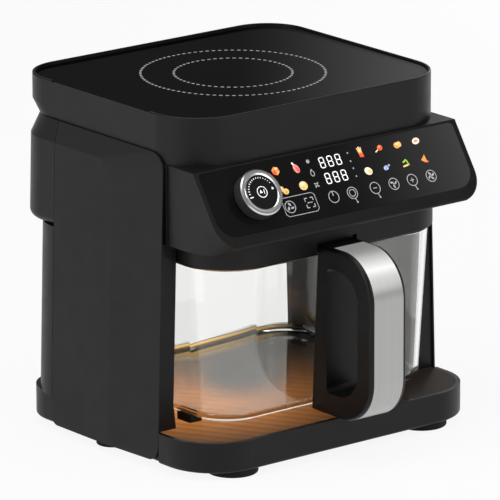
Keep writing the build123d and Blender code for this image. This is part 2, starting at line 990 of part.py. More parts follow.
# Induction coil stack, centred under the hob marks and pressed up against the glass
with BuildPart() as coil_carrier:
    with Locations((0, tray_mid, carrier_z)):
        Cylinder(coil_radius + 3.0, carrier_thick, align=low_middle)
        Cylinder(coil_inner - 4.0, carrier_thick, align=low_middle, mode=Mode.SUBTRACT)
    with BuildSketch(Plane.XY.offset(carrier_z)):
        with Locations([Location((0, tray_mid), angle) for angle in carrier_angles]):
            with Locations((carrier_arm_x, 0)):
                SlotOverall(carrier_arm, 2 * carrier_post_radius)
    extrude(amount=carrier_thick)
    with BuildSketch(Plane.XY.offset(carrier_z)):
        with Locations([Location((0, tray_mid), angle) for angle in ferrite_angles]):
            with Locations(((coil_radius + coil_inner) / 2, 0)):
                Rectangle(ferrite_length, ferrite_width)
    extrude(amount=carrier_thick - 1.0, mode=Mode.SUBTRACT)
save(coil_carrier, "coil_carrier")

with BuildPart() as ferrite_bars:
    with BuildSketch(Plane.XY.offset(carrier_z + carrier_thick - 1.0)):
        with Locations([Location((0, tray_mid), angle) for angle in ferrite_angles]):
            with Locations(((coil_radius + coil_inner) / 2, 0)):
                Rectangle(ferrite_length - 0.6, ferrite_width - 0.6)
    extrude(amount=-ferrite_thick)
save(ferrite_bars, "ferrite_bars")

coil_z = carrier_z + carrier_thick
with BuildPart() as induction_coil:
    with Locations((0, tray_mid, coil_z)):
        Cylinder(coil_radius, coil_thick, align=low_middle)
        Cylinder(coil_inner, coil_thick, align=low_middle, mode=Mode.SUBTRACT)
    groove_pitch = (coil_radius - coil_inner) / (coil_groove_count + 1)
    with BuildSketch(Plane.XY.offset(coil_z + coil_thick)):
        for groove in range(coil_groove_count):
            radius = coil_inner + (groove + 1) * groove_pitch
            with Locations((0, tray_mid)):
                Circle(radius + 0.6)
                Circle(radius - 0.6, mode=Mode.SUBTRACT)
    extrude(amount=-1.5, mode=Mode.SUBTRACT)
save(induction_coil, "induction_coil")

with BuildPart() as coil_insulation:
    with Locations((0, tray_mid, coil_z + coil_thick)):
        Cylinder(coil_radius + 2.0, glass_bottom - coil_z - coil_thick, align=low_middle)
        Cylinder(coil_inner - 8.0, glass_bottom - coil_z - coil_thick, align=low_middle, mode=Mode.SUBTRACT)
save(coil_insulation, "coil_insulation")

with BuildPart() as hob_sensor:
    with Locations((0, tray_mid, glass_bottom)):
        Cylinder(6.0, 4.0, align=high_middle)
    with Locations((0, tray_mid, glass_bottom - 4.0)):
        Cylinder(3.0, glass_bottom - 4.0 - floor_z, align=high_middle)
save(hob_sensor, "hob_sensor")

with BuildPart() as hob_board:
    with Locations((0, hob_board_y, floor_z + board_standoff)):
        Box(hob_board_width, hob_board_depth, board_thick, align=low_middle)
    with Locations((-hob_board_width / 4, hob_board_y, floor_z + board_standoff + board_thick)):
        Box(heatsink_length, heatsink_depth, heatsink_base, align=low_middle)
        with GridLocations(fin_pitch, 0, fin_count, 1):
            Box(fin_thick, heatsink_depth, heatsink_height, align=low_middle)
    with Locations([(x, hob_board_y, floor_z + board_standoff + board_thick) for x in capacitor_places]):
        Cylinder(capacitor_radius, capacitor_height, align=low_middle)
save(hob_board, "hob_board")


# Hood under the head: a moulded ring over the pot's rim, notched for the top of the handle
def hood_plan(z, inset):
    corner = hood_corner - inset
    return outline(z, hood_half - inset, hood_front + inset, hood_rear - inset, corner, corner)


with BuildPart() as hood_collar:
    extrude(hood_plan(hood_bottom, 0), amount=hood_height)
    fillet(hood_collar.edges().group_by(Axis.Z)[0], 1.5)
    extrude(hood_plan(hood_bottom + hood_wall, hood_wall), amount=hood_height, mode=Mode.SUBTRACT)
    extrude(hood_plan(hood_bottom, hood_ledge), amount=hood_height, mode=Mode.SUBTRACT)
    with Locations((0, hood_front, hood_bottom)):
        Box(
            2 * (handle_notch_half + hood_wall),
            handle_notch_depth + hood_wall,
            hood_height,
            align=(Align.CENTER, Align.MIN, Align.MIN),
        )
        Box(
            2 * handle_notch_half,
            2 * handle_notch_depth,
            2 * handle_notch_height,
            mode=Mode.SUBTRACT,
        )
save(hood_collar, "hood_collar")

bracket_foot_x = bracket_half + bracket_foot / 2


# Cooking chamber: an upturned pan with a stamped guard, the heater and the fan inside it
def chamber_plan(z, inset):
    corner = chamber_corner - inset
    return outline(z, chamber_half - inset, chamber_front + inset, chamber_rear - inset, corner, corner)


flange_z = head_bottom + head_wall
chamber_centre = (0, chamber_mid)
tube_z = head_bottom + heater_height
turn_gap = (heater_outer - heater_inner) / 2
turn_mid = (heater_outer + heater_inner) / 2
terminal_places = [
    (sqrt(radius**2 - heater_terminal_y**2), chamber_mid + heater_terminal_y)
    for radius in (heater_inner, heater_outer)
]

with BuildPart() as pan_hollow:
    extrude(
        chamber_plan(head_bottom, chamber_gap + chamber_sheet),
        amount=chamber_depth - chamber_sheet,
    )
    fillet(pan_hollow.edges().group_by(Axis.Z)[-1], chamber_round - chamber_sheet)

with BuildPart() as heat_reflector:
    extrude(chamber_plan(head_bottom + pan_lift, chamber_gap), amount=chamber_depth - pan_lift)
    fillet(heat_reflector.edges().group_by(Axis.Z)[-1], chamber_round)
    extrude(chamber_plan(flange_z, -chamber_flange), amount=chamber_sheet)
    add(pan_hollow.part, mode=Mode.SUBTRACT)
    with BuildSketch(Plane.XY.offset(chamber_top)):
        with Locations(chamber_centre):
            Circle(shaft_hole)
        with Locations(terminal_places):
            Circle(heater_tube)
        with Locations((lamp_x, lamp_y)):
            Circle(lens_radius)
        with Locations((probe_x, chamber_mid)):
            Circle(probe_radius + 0.2)
    extrude(amount=-2 * chamber_sheet, mode=Mode.SUBTRACT)
save(heat_reflector, "heat_reflector")

with BuildSketch(Plane.XY.offset(head_bottom)) as guard_edge:
    add(chamber_plan(0, -guard_frame))
    add(chamber_plan(0, guard_frame), mode=Mode.SUBTRACT)

with BuildPart() as heater_guard:
    with BuildSketch(Plane.XY.offset(head_bottom)):
        with Locations(chamber_centre):
            for ring in reversed(range(guard_ring_count)):
                radius = (ring + 1) * guard_pitch
                Circle(radius + guard_ring_width / 2)
                Circle(radius - guard_ring_width / 2, mode=Mode.SUBTRACT)
            Rectangle(2 * (chamber_half - 1.0), guard_spoke)
            Rectangle(guard_spoke, chamber_rear - chamber_front - 2.0)
    extrude(amount=-guard_thick)
    extrude(guard_edge.sketch, amount=-guard_thick)
save(heater_guard, "heater_guard")


# Heater: one tube bent into a double ring, with both ends rising through the pan
with BuildPart() as heater_element:
    start = degrees(atan2(heater_terminal_y, sqrt(heater_outer**2 - heater_terminal_y**2)))
    inner_start = degrees(atan2(heater_terminal_y, sqrt(heater_inner**2 - heater_terminal_y**2)))
    turn_at = start - heater_gap_angle
    with BuildLine(Plane(origin=(0, chamber_mid, tube_z))) as tube_path:
        outer = CenterArc((0, 0), heater_outer, start, 360 - heater_gap_angle)
        turn_centre = (turn_mid * cos(radians(turn_at)), turn_mid * sin(radians(turn_at)))
        turn = CenterArc(turn_centre, turn_gap, turn_at, 180)
        inner = CenterArc((0, 0), heater_inner, turn_at + 360, inner_start - turn_at - 360)
    with BuildSketch(Plane(origin=outer @ 0, z_dir=outer % 0)):
        Circle(heater_tube)
    sweep(path=tube_path.wires()[0])
    ends = [outer @ 0, inner @ 1]
    for end in ends:
        with BuildSketch(Plane.XY.offset(tube_z)):
            with Locations((end.X, end.Y)):
                Circle(heater_tube)
        extrude(amount=chamber_top + terminal_rise - tube_z)
save(heater_element, "heater_element")

insulation_top = chamber_top + insulation_thick
bracket_z = insulation_top + bracket_height
motor_z = bracket_z + bracket_sheet

with BuildPart() as chamber_insulation:
    extrude(chamber_plan(chamber_top, chamber_gap + chamber_round), amount=insulation_thick)
    with BuildSketch(Plane.XY.offset(chamber_top)):
        with Locations(chamber_centre):
            Circle(shaft_hole + 6.0)
        with Locations(terminal_places):
            Circle(heater_tube + 1.5)
        with Locations((lamp_x, lamp_y)):
            Circle(lens_radius + 3.0)
        with Locations((probe_x, chamber_mid)):
            Circle(probe_radius + 4.0)
        with Locations([(side * bracket_foot_x, chamber_mid) for side in (-1, 1)]):
            Rectangle(bracket_foot + 1.0, bracket_width + 1.0)
    extrude(amount=insulation_thick, mode=Mode.SUBTRACT)
save(chamber_insulation, "chamber_insulation")

with BuildPart() as motor_bracket:
    with BuildSketch(Plane.XZ.offset(-chamber_mid)):
        with BuildLine():
            Polyline(
                (-bracket_half - bracket_foot, chamber_top),
                (-bracket_half, chamber_top),
                (-bracket_half, bracket_z),
                (bracket_half, bracket_z),
                (bracket_half, chamber_top),
                (bracket_half + bracket_foot, chamber_top),
                (bracket_half + bracket_foot, chamber_top + bracket_sheet),
                (bracket_half + bracket_sheet, chamber_top + bracket_sheet),
                (bracket_half + bracket_sheet, motor_z),
                (-bracket_half - bracket_sheet, motor_z),
                (-bracket_half - bracket_sheet, chamber_top + bracket_sheet),
                (-bracket_half - bracket_foot, chamber_top + bracket_sheet),
                close=True,
            )
        make_face()
    extrude(amount=bracket_width / 2, both=True)
    with Locations((0, chamber_mid, bracket_z)):
        Cylinder(shaft_hole + 3.0, 3 * bracket_sheet, mode=Mode.SUBTRACT)
save(motor_bracket, "motor_bracket")

with BuildPart() as motor:
    with Locations((0, chamber_mid, motor_z)):
        Cylinder(motor_radius, motor_height, align=low_middle)
        fillet(motor.edges().group_by(Axis.Z)[-1], 2.0)
        Cylinder(shaft_hole + 2.0, 2 * (motor_z - bracket_z - 0.5))
        Cylinder(shaft_radius + running_gap, 4 * motor_height, mode=Mode.SUBTRACT)
save(motor, "motor")

fan_z = head_bottom + fan_height
shaft_low = fan_z - 2.0
with BuildPart() as motor_shaft:
    with Locations((0, chamber_mid, shaft_low)):
        Cylinder(shaft_radius, motor_z + motor_height - 1.0 - shaft_low, align=low_middle)
    chamfer(motor_shaft.edges().group_by(Axis.Z)[0], 0.5)
save(motor_shaft, "motor_shaft")


# Two bladed wheels on the one shaft: the convection fan in the pan and the impeller above it
def bladed_wheel(name, z, radius, depth, hub, count, disc_low):
    disc_z = z if disc_low else z + depth
    with BuildPart() as wheel:
        with Locations((0, chamber_mid, disc_z)):
            Cylinder(radius, fan_disc, align=low_middle)
        with Locations((0, chamber_mid, z)):
            Cylinder(hub, depth + fan_disc, align=low_middle)
        blade_z = z + fan_disc if disc_low else z
        with BuildSketch(Plane.XY.offset(blade_z)):
            with Locations(chamber_centre):
                with PolarLocations(0, count):
                    with Locations(Location(((radius + hub) / 2, 0), fan_blade_tilt)):
                        Rectangle(radius - hub - 4.0, fan_blade_thick)
        extrude(amount=depth)
        with Locations((0, chamber_mid, z)):
            Cylinder(shaft_radius, 4 * depth, mode=Mode.SUBTRACT)
    save(wheel, name)
    return wheel


convection_fan = bladed_wheel(
    "convection_fan", fan_z, fan_radius, fan_depth, fan_hub, fan_vane_count, False
)
impeller_z = insulation_top + (bracket_height - impeller_depth) / 2
cooling_impeller = bladed_wheel(
    "cooling_impeller", impeller_z, impeller_radius, impeller_depth, fan_hub, fan_vane_count, True
)

with BuildPart() as lamp_lens:
    with Locations((lamp_x, lamp_y, chamber_top - chamber_sheet)):
        Cylinder(lens_radius + 2.5, 1.6, align=high_middle)
        Cylinder(lens_radius - 0.2, chamber_sheet + 1.5, align=low_middle)
    chamfer(lamp_lens.edges().group_by(Axis.Z)[0], 0.8)
save(lamp_lens, "lamp_lens")

with BuildPart() as chamber_lamp:
    with Locations((lamp_x, lamp_y, chamber_top + 1.5)):
        Cylinder(lens_radius - 1.0, lamp_height, align=low_middle)
    with Locations((lamp_x, lamp_y, chamber_top)):
        Cylinder(lens_radius + 2.5, lamp_height + 1.5, align=low_middle)
        Cylinder(lens_radius, 1.5, align=low_middle, mode=Mode.SUBTRACT)
save(chamber_lamp, "chamber_lamp")

with BuildPart() as temperature_probe:
    with Locations((probe_x, chamber_mid, chamber_top)):
        Cylinder(probe_radius, 20.0, align=high_middle)
        Cylinder(probe_radius + 3.0, 6.0, align=low_middle)
    fillet(temperature_probe.edges().group_by(Axis.Z)[0], 1.2)
save(temperature_probe, "temperature_probe")

with BuildPart() as pot_sensor:
    with Locations((0, hood_front + handle_notch_depth + hood_wall, hood_bottom + hood_wall)):
        Box(14.0, 6.0, 10.0, align=(Align.CENTER, Align.MIN, Align.MIN))
save(pot_sensor, "pot_sensor")

# Control panel: glass, display, board, encoder and the knob with its push button
with BuildPart() as control_glass:
    extrude(
        panel_outline(
            panel_glass_sink,
            panel_glass_half,
            panel_glass_top,
            panel_glass_length,
            panel_glass_top_corner,
            panel_glass_corner,
        ),
        amount=-panel_glass_thick,
    )
    with BuildSketch(panel_plane):
        with Locations(knob_axis_place):
            Circle(shaft_hole)
    extrude(amount=-2 * glass_sink, mode=Mode.SUBTRACT)
save(control_glass, "control_glass")

with BuildPart() as display_module:
    with BuildSketch(panel_plane.offset(-glass_sink)):
        with Locations(display_place):
            Rectangle(display_width, display_length)
    extrude(amount=glass_sink - board_depth)
save(display_module, "display_module")

with BuildPart() as control_board:
    with BuildSketch(panel_plane.offset(-board_depth)):
        with Locations((0, -panel_glass_top - 31.0)):
            Rectangle(2 * board_half, board_length)
    extrude(amount=-board_thick)
    with BuildSketch(panel_plane.offset(-board_depth - board_thick)):
        with Locations((60.0, -40.0)):
            Rectangle(18.0, 18.0)
        with Locations((100.0, -24.0)):
            Rectangle(24.0, 8.0)
    extrude(amount=-2.5)
save(control_board, "control_board")

with BuildPart() as encoder:
    with BuildSketch(panel_plane.offset(-board_depth)):
        with Locations(knob_axis_place):
            Rectangle(encoder_side, encoder_side)
    extrude(amount=board_standoff - 1.0)
    with BuildSketch(panel_plane.offset(-board_depth)):
        with Locations(knob_axis_place):
            Circle(shaft_hole - 0.3)
    extrude(amount=board_standoff + panel_wall)
    with BuildSketch(panel_plane.offset(-board_depth + 1.0)):
        with Locations(knob_axis_place):
            Circle(shaft_radius + running_gap)
    extrude(amount=board_depth, mode=Mode.SUBTRACT)
save(encoder, "encoder")

knob_plane = Plane(
    origin=panel_plane.from_local_coords(Vector(knob_x, -knob_drop, -panel_glass_sink)),
    x_dir=(1, 0, 0),
    z_dir=panel_plane.z_dir,
)
button_bore = button_radius + running_gap
button_seat = knob_height - button_depth

with BuildPart() as knob_shaft:
    with BuildSketch(knob_plane.offset(-board_depth + panel_glass_sink + 1.5)):
        Circle(shaft_radius)
    extrude(amount=board_depth - panel_glass_sink - 1.5 + button_seat - knob_web)
save(knob_shaft, "knob_shaft")

face_floor = knob_height - knob_face_sink - knob_face_thick


def height_over_panel(shape):
    return knob_plane.to_local_coords(shape.center()).Z


with BuildPart() as knob_barrel:
    with BuildSketch(knob_plane.offset(knob_lift)):
        Circle(knob_radius)
    extrude(amount=knob_height - knob_lift)
    chamfer(knob_barrel.edges().sort_by(height_over_panel)[-1], knob_chamfer)
    with BuildSketch(knob_plane.offset(knob_lift)):
        Circle(knob_radius - knob_wall)
        Circle(shaft_radius + knob_wall, mode=Mode.SUBTRACT)
    extrude(amount=button_seat - knob_web - knob_lift, mode=Mode.SUBTRACT)
    with BuildSketch(knob_plane.offset(knob_lift)):
        Circle(shaft_radius)
    extrude(amount=button_seat - knob_web - knob_lift, mode=Mode.SUBTRACT)
    with BuildSketch(knob_plane.offset(face_floor)):
        Circle(knob_face_radius)
    extrude(amount=knob_height, mode=Mode.SUBTRACT)
    with BuildSketch(knob_plane.offset(button_seat)):
        Circle(button_bore + button_flange)
    extrude(amount=knob_height, mode=Mode.SUBTRACT)
save(knob_barrel, "knob_barrel")

with BuildPart() as knob_face:
    with BuildSketch(knob_plane.offset(face_floor)):
        Circle(knob_face_radius)
        Circle(button_bore, mode=Mode.SUBTRACT)
    extrude(amount=knob_face_thick)
save(knob_face, "knob_face")

with BuildPart() as knob_button:
    with BuildSketch(knob_plane.offset(face_floor)):
        Circle(button_radius)
    extrude(amount=knob_height - knob_face_sink - face_floor + button_proud)
    fillet(knob_button.edges().sort_by(height_over_panel)[-1], 0.5)
    with BuildSketch(knob_plane.offset(face_floor)):
        Circle(button_radius + button_flange)
    extrude(amount=-button_flange_thick)
save(knob_button, "knob_button")

# Rear fan and power board, on the rear housing's back wall
inner_rear = housing_rear - housing_wall
fan_side_plane = Plane.XZ.offset(-inner_rear)

with BuildPart() as rear_fan_frame:
    with BuildSketch(fan_side_plane):
        with Locations((rear_fan_x, vent_z)):
            RectangleRounded(rear_fan_side, rear_fan_side, 4.0)
            Circle(rear_fan_bore, mode=Mode.SUBTRACT)
    extrude(amount=rear_fan_depth)
    with BuildSketch(fan_side_plane.offset(rear_fan_depth - 1.5)):
        with Locations((rear_fan_x, vent_z)):
            Circle(rear_fan_hub)
            with PolarLocations(0, 3, start_angle=90):
                with Locations((rear_fan_bore / 2, 0)):
                    Rectangle(rear_fan_bore + 1.0, 3.0)
    extrude(amount=1.5)
    with BuildSketch(fan_side_plane.offset(1.5)):
        with Locations((rear_fan_x, vent_z)):
            Circle(rear_fan_pin)
    extrude(amount=rear_fan_depth - 2.0)
save(rear_fan_frame, "rear_fan_frame")

with BuildPart() as rear_fan_rotor:
    with BuildSketch(fan_side_plane.offset(1.0)):
        with Locations((rear_fan_x, vent_z)):
            Circle(rear_fan_hub)
    extrude(amount=rear_fan_depth - 3.0)
    with BuildSketch(fan_side_plane.offset(2.0)):
        with Locations((rear_fan_x, vent_z)):
            with PolarLocations(0, rear_fan_blade_count):
                with Locations(Location(((rear_fan_bore + rear_fan_hub) / 2 - 1.0, 0), 35)):
                    Rectangle(rear_fan_bore - rear_fan_hub - 2.0, 1.6)
                with Locations((rear_fan_hub + 3.0, 0)):
                    Rectangle(9.0, 2.4)
    extrude(amount=rear_fan_depth - 5.0)
    with BuildSketch(fan_side_plane.offset(1.5)):
        with Locations((rear_fan_x, vent_z)):
            Circle(rear_fan_pin + running_gap)
    extrude(amount=rear_fan_depth, mode=Mode.SUBTRACT)
save(rear_fan_rotor, "rear_fan_rotor")

board_face = Plane.XZ.offset(-(inner_rear - power_standoff))
with BuildPart() as power_board:
    with BuildSketch(board_face):
        with Locations((power_board_x, vent_z)):
            Rectangle(power_board_width, power_board_height)
    extrude(amount=board_thick)
    with BuildSketch(board_face.offset(board_thick)):
        with Locations((power_board_x - choke_offset, vent_z)):
            Rectangle(choke_width, choke_length)
        with Locations((power_board_x + relay_offset, vent_z - relay_drop)):
            Rectangle(relay_width, relay_length)
    extrude(amount=choke_height)
    with BuildSketch(board_face.offset(board_thick)):
        with Locations([(power_board_x + x, vent_z + small_capacitor_rise) for x in small_capacitor_places]):
            Circle(small_capacitor_radius)
    extrude(amount=small_capacitor_height)
save(power_board, "power_board")


# Glass pot: drafted walls, a thick floor and rounded corners, drilled for the handle screws
def pot_plan(z, inset):
    rise = (z - pot_floor) / pot_height
    draft = pot_draft * (1 - rise) + inset
    corner = pot_corner - draft
    return outline(z, pot_half - draft, pot_front + draft, pot_rear - draft, corner, corner)


wall_plane = Plane(
    origin=(0, pot_front + pot_draft, pot_floor),
    x_dir=(1, 0, 0),
    z_dir=(0, -pot_height, -pot_draft),
)
wall_across = pot_wall * pot_height / hypot(pot_height, pot_draft)
screw_places = [(0, pot_screw_low), (0, pot_screw_high)]

with BuildPart() as pot_hollow:
    loft([pot_plan(pot_floor + pot_floor_thick, pot_wall), pot_plan(pot_rim, pot_wall)])
    fillet(pot_hollow.edges().group_by(Axis.Z)[0], pot_inner_round)

with BuildPart() as glass_pot:
    loft([pot_plan(pot_floor, 0), pot_plan(pot_rim, 0)])
    fillet(glass_pot.edges().group_by(Axis.Z)[0], pot_foot_round)
    add(pot_hollow.part, mode=Mode.SUBTRACT)
    fillet(glass_pot.edges().group_by(Axis.Z)[-1], pot_rim_round)
    with BuildSketch(wall_plane):
        with Locations(screw_places):
            Circle(screw_hole)
    extrude(amount=2 * pot_wall, both=True, mode=Mode.SUBTRACT)
save(glass_pot, "glass_pot")

# Handle: a closed loop on a gasket, with a steel strip let into its outer face
grip_foot = pot_floor - grip_foot_drop
grip_top = pot_rim + grip_top_rise
gasket_across = gasket_thick * hypot(pot_height, pot_draft) / pot_height


def wall_y(z):
    return pot_front + pot_draft * (1 - (z - pot_floor) / pot_height)


def grip_outline(x, inset):
    with BuildSketch(Plane.YZ.offset(x)) as loop:
        with BuildLine():
            Polyline(
                (wall_y(grip_foot) - gasket_across, grip_foot + inset),
                (handle_front + inset, grip_foot + inset),
                (handle_front + inset, grip_top - inset),
                (wall_y(grip_top) - gasket_across, grip_top - inset),
                close=True,
            )
        make_face()
        fillet(loop.vertices().group_by(Axis.X)[0], grip_corner - inset)
    return loop.sketch


window_low = grip_foot + grip_window_foot
window_high = grip_top - grip_window_top
window_front = handle_front + grip_arm
window_back = pot_front - gasket_thick - grip_leg

with BuildPart() as handle_strip:
    extrude(grip_outline(-strip_half, 0), amount=2 * strip_half)
    extrude(grip_outline(-grip_half, strip_thick), amount=2 * grip_half, mode=Mode.SUBTRACT)
    with Locations((0, wall_y(grip_top) - strip_top_set, (grip_top + grip_foot) / 2)):
        Box(
            4 * grip_half,
            handle_reach,
            2 * pot_height,
            align=(Align.CENTER, Align.MIN, Align.CENTER),
            mode=Mode.SUBTRACT,
        )
    with Locations((0, wall_y(grip_foot) - strip_foot_set, grip_foot)):
        Box(
            4 * grip_half,
            handle_reach,
            pot_height,
            align=(Align.CENTER, Align.MIN, Align.CENTER),
            mode=Mode.SUBTRACT,
        )
save(handle_strip, "handle_strip")

with BuildPart() as handle_grip:
    extrude(grip_outline(-grip_half, 0), amount=2 * grip_half)
    outer_edges = handle_grip.edges().filter_by(Plane.YZ)
    wall_edges = outer_edges.filter_by(lambda edge: edge.center().Y > pot_front - gasket_thick)
    fillet(outer_edges - wall_edges, grip_edge_round)
    with BuildSketch(Plane.YZ) as window:
        with Locations(((window_front + window_back) / 2, (window_low + window_high) / 2)):
            Rectangle(window_back - window_front, window_high - window_low)
        fillet(window.vertices().group_by(Axis.X)[0], grip_window_corner)
        fillet(window.vertices().group_by(Axis.X)[-1], grip_window_inner_corner)
    extrude(amount=2 * grip_half, both=True, mode=Mode.SUBTRACT)
    add(handle_strip.part, mode=Mode.SUBTRACT)
    with BuildSketch(wall_plane):
        with Locations(screw_places):
            Circle(pot_screw_radius)
    extrude(amount=pot_screw_length, mode=Mode.SUBTRACT)
    with Locations(Location((0, wall_y(magnet_z) - gasket_across, magnet_z), (90, 0, 0))):
        Cylinder(magnet_radius, magnet_thick, align=low_middle, mode=Mode.SUBTRACT)
save(handle_grip, "handle_grip")

with BuildPart() as pot_magnet:
    with Locations(Location((0, wall_y(magnet_z) - gasket_across, magnet_z), (90, 0, 0))):
        Cylinder(magnet_radius, magnet_thick, align=low_middle)
save(pot_magnet, "pot_magnet")

with BuildPart() as handle_gasket:
    with BuildSketch(wall_plane):
        with Locations((0, (pot_screw_low + pot_screw_high) / 2)):
            RectangleRounded(2 * grip_half - 3.0, pot_screw_high - pot_screw_low + 40.0, 5.0)
        with Locations(screw_places):
            Circle(pot_screw_radius, mode=Mode.SUBTRACT)
    extrude(amount=gasket_thick)
save(handle_gasket, "handle_gasket")

with BuildPart() as clamp_plate:
    with BuildSketch(wall_plane.offset(-wall_across)):
        with Locations((0, (pot_screw_low + pot_screw_high) / 2)):
            RectangleRounded(2 * clamp_half, pot_screw_high - pot_screw_low + 20.0, clamp_half - 0.5)
        with Locations(screw_places):
            Circle(pot_screw_radius, mode=Mode.SUBTRACT)
    extrude(amount=-clamp_thick)
save(clamp_plate, "clamp_plate")

with BuildPart() as handle_screws:
    with BuildSketch(wall_plane.offset(-wall_across - clamp_thick)):
        with Locations(screw_places):
            Circle(pot_screw_radius + 2.5)
    extrude(amount=-pot_screw_head)
    fillet(handle_screws.edges().group_by(Axis.Y)[-1], 1.2)
    with BuildSketch(wall_plane.offset(-wall_across - clamp_thick)):
        with Locations(screw_places):
            Circle(pot_screw_radius)
    extrude(amount=wall_across + clamp_thick + pot_screw_length)
save(handle_screws, "handle_screws")
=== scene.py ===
import bmesh
import bpy
import math
from mathutils import Matrix, Vector


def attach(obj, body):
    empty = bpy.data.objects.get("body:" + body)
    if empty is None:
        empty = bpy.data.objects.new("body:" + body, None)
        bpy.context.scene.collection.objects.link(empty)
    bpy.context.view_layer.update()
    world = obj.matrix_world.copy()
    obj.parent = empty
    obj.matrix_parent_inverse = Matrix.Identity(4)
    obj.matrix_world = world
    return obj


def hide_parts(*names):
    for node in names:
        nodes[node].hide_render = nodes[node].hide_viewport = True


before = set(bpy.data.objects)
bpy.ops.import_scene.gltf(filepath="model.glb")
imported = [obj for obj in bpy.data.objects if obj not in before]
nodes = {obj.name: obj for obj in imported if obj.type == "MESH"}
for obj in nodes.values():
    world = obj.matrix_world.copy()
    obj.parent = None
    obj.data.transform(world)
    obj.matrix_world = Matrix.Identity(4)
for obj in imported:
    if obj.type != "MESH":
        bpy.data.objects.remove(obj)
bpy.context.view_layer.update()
print("frame loaded,", len(nodes), "nodes")

# Camera, matched to the photograph's view
viewPoint = {
    "target": (0.0, 0.0183, 0.1953),
    "yaw": 38.578,
    "pitch": 15.869,
    "roll": -0.165,
    "distance": 5.8395,
    "shiftRight": 0.003341,
    "shiftUp": 0.021669,
    "lens": 432.0,
    "farClip": 100,
}


def makeCamera():
    yaw = math.radians(viewPoint["yaw"])
    pitch = math.radians(viewPoint["pitch"])
    back = Vector((-math.sin(yaw) * math.cos(pitch), -math.cos(yaw) * math.cos(pitch), math.sin(pitch)))
    right = Vector((math.cos(yaw), -math.sin(yaw), 0))
    up = back.cross(right)
    roll = Matrix.Rotation(math.radians(viewPoint["roll"]), 3, back)
    right, up = roll @ right, roll @ up
    place = Vector(viewPoint["target"]) + back * viewPoint["distance"]
    place -= right * viewPoint["shiftRight"] + up * viewPoint["shiftUp"]
    bpy.ops.object.camera_add(location=place)
    camera = bpy.context.active_object
    camera.rotation_euler = Matrix((right, up, back)).transposed().to_euler()
    camera.data.lens = viewPoint["lens"]
    camera.data.clip_end = viewPoint["farClip"]
    bpy.context.scene.camera = camera


makeCamera()
print("camera placed")

# Node helpers, shared by every finish
def addNode(tree, kind, links=None, **settings):
    node = tree.nodes.new(kind)
    for key, value in settings.items():
        setattr(node, key, value)
    for socket, value in (links or {}).items():
        if isinstance(value, bpy.types.NodeSocket):
            tree.links.new(value, node.inputs[socket])
        else:
            node.inputs[socket].default_value = value
    return node


def newFinish(name):
    finish = bpy.data.materials.new(name)
    finish.use_nodes = True
    tree = finish.node_tree
    return finish, tree, tree.nodes["Principled BSDF"]


def objectPlace(tree, stretch=(1, 1, 1)):
    spot = addNode(tree, "ShaderNodeTexCoord").outputs["Object"]
    return addNode(tree, "ShaderNodeMapping", {"Vector": spot, "Scale": stretch}).outputs[0]


def noise(tree, place, scale, detail=3.0, rough=0.5):
    links = {"Vector": place, "Scale": scale, "Detail": detail, "Roughness": rough}
    return addNode(tree, "ShaderNodeTexNoise", links).outputs["Fac"]


def spread(tree, value, low, high, fromLow=0.3, fromHigh=0.7):
    links = {"Value": value, "From Min": fromLow, "From Max": fromHigh, "To Min": low, "To Max": high}
    return addNode(tree, "ShaderNodeMapRange", links).outputs["Result"]


def blendColour(tree, factor, first, second):
    node = addNode(tree, "ShaderNodeMix", data_type="RGBA")
    for socket, value in ((node.inputs[0], factor), (node.inputs[6], first), (node.inputs[7], second)):
        if isinstance(value, bpy.types.NodeSocket):
            tree.links.new(value, socket)
        else:
            socket.default_value = value if isinstance(value, float) else (*value, 1.0)
    return node.outputs[2]


def addBump(tree, shader, height, strength, distance):
    bump = addNode(tree, "ShaderNodeBump", {"Height": height, "Strength": strength, "Distance": distance})
    tree.links.new(bump.outputs["Normal"], shader.inputs["Normal"])


def calc(tree, operation, first, second=0.0):
    return addNode(tree, "ShaderNodeMath", {0: first, 1: second}, operation=operation).outputs[0]


def splitPlace(tree):
    spot = addNode(tree, "ShaderNodeTexCoord").outputs["Object"]
    return addNode(tree, "ShaderNodeSeparateXYZ", {0: spot}).outputs


# Moulded plastic: a faint cloudiness in the colour and a fine spark-eroded grain
plasticGrain = {"hazeTimes": 3, "roughnessReach": 0.04, "detail": 2.0, "rough": 0.6, "depth": 0.0002}


def mouldedPlastic(name, look):
    finish, tree, shader = newFinish(name)
    place = objectPlace(tree)
    cloud = noise(tree, place, look["cloudScale"])
    colour = blendColour(tree, spread(tree, cloud, 0.0, 1.0), look["dark"], look["light"])
    tree.links.new(colour, shader.inputs["Base Color"])
    haze = noise(tree, place, look["cloudScale"] * plasticGrain["hazeTimes"])
    reach = plasticGrain["roughnessReach"]
    rough = spread(tree, haze, look["roughness"] - reach, look["roughness"] + reach)
    tree.links.new(rough, shader.inputs["Roughness"])
    grain = noise(tree, place, look["grainScale"], plasticGrain["detail"], plasticGrain["rough"])
    addBump(tree, shader, grain, look["grain"], plasticGrain["depth"])
    shader.inputs["Specular IOR Level"].default_value = look["shine"]
    return finish


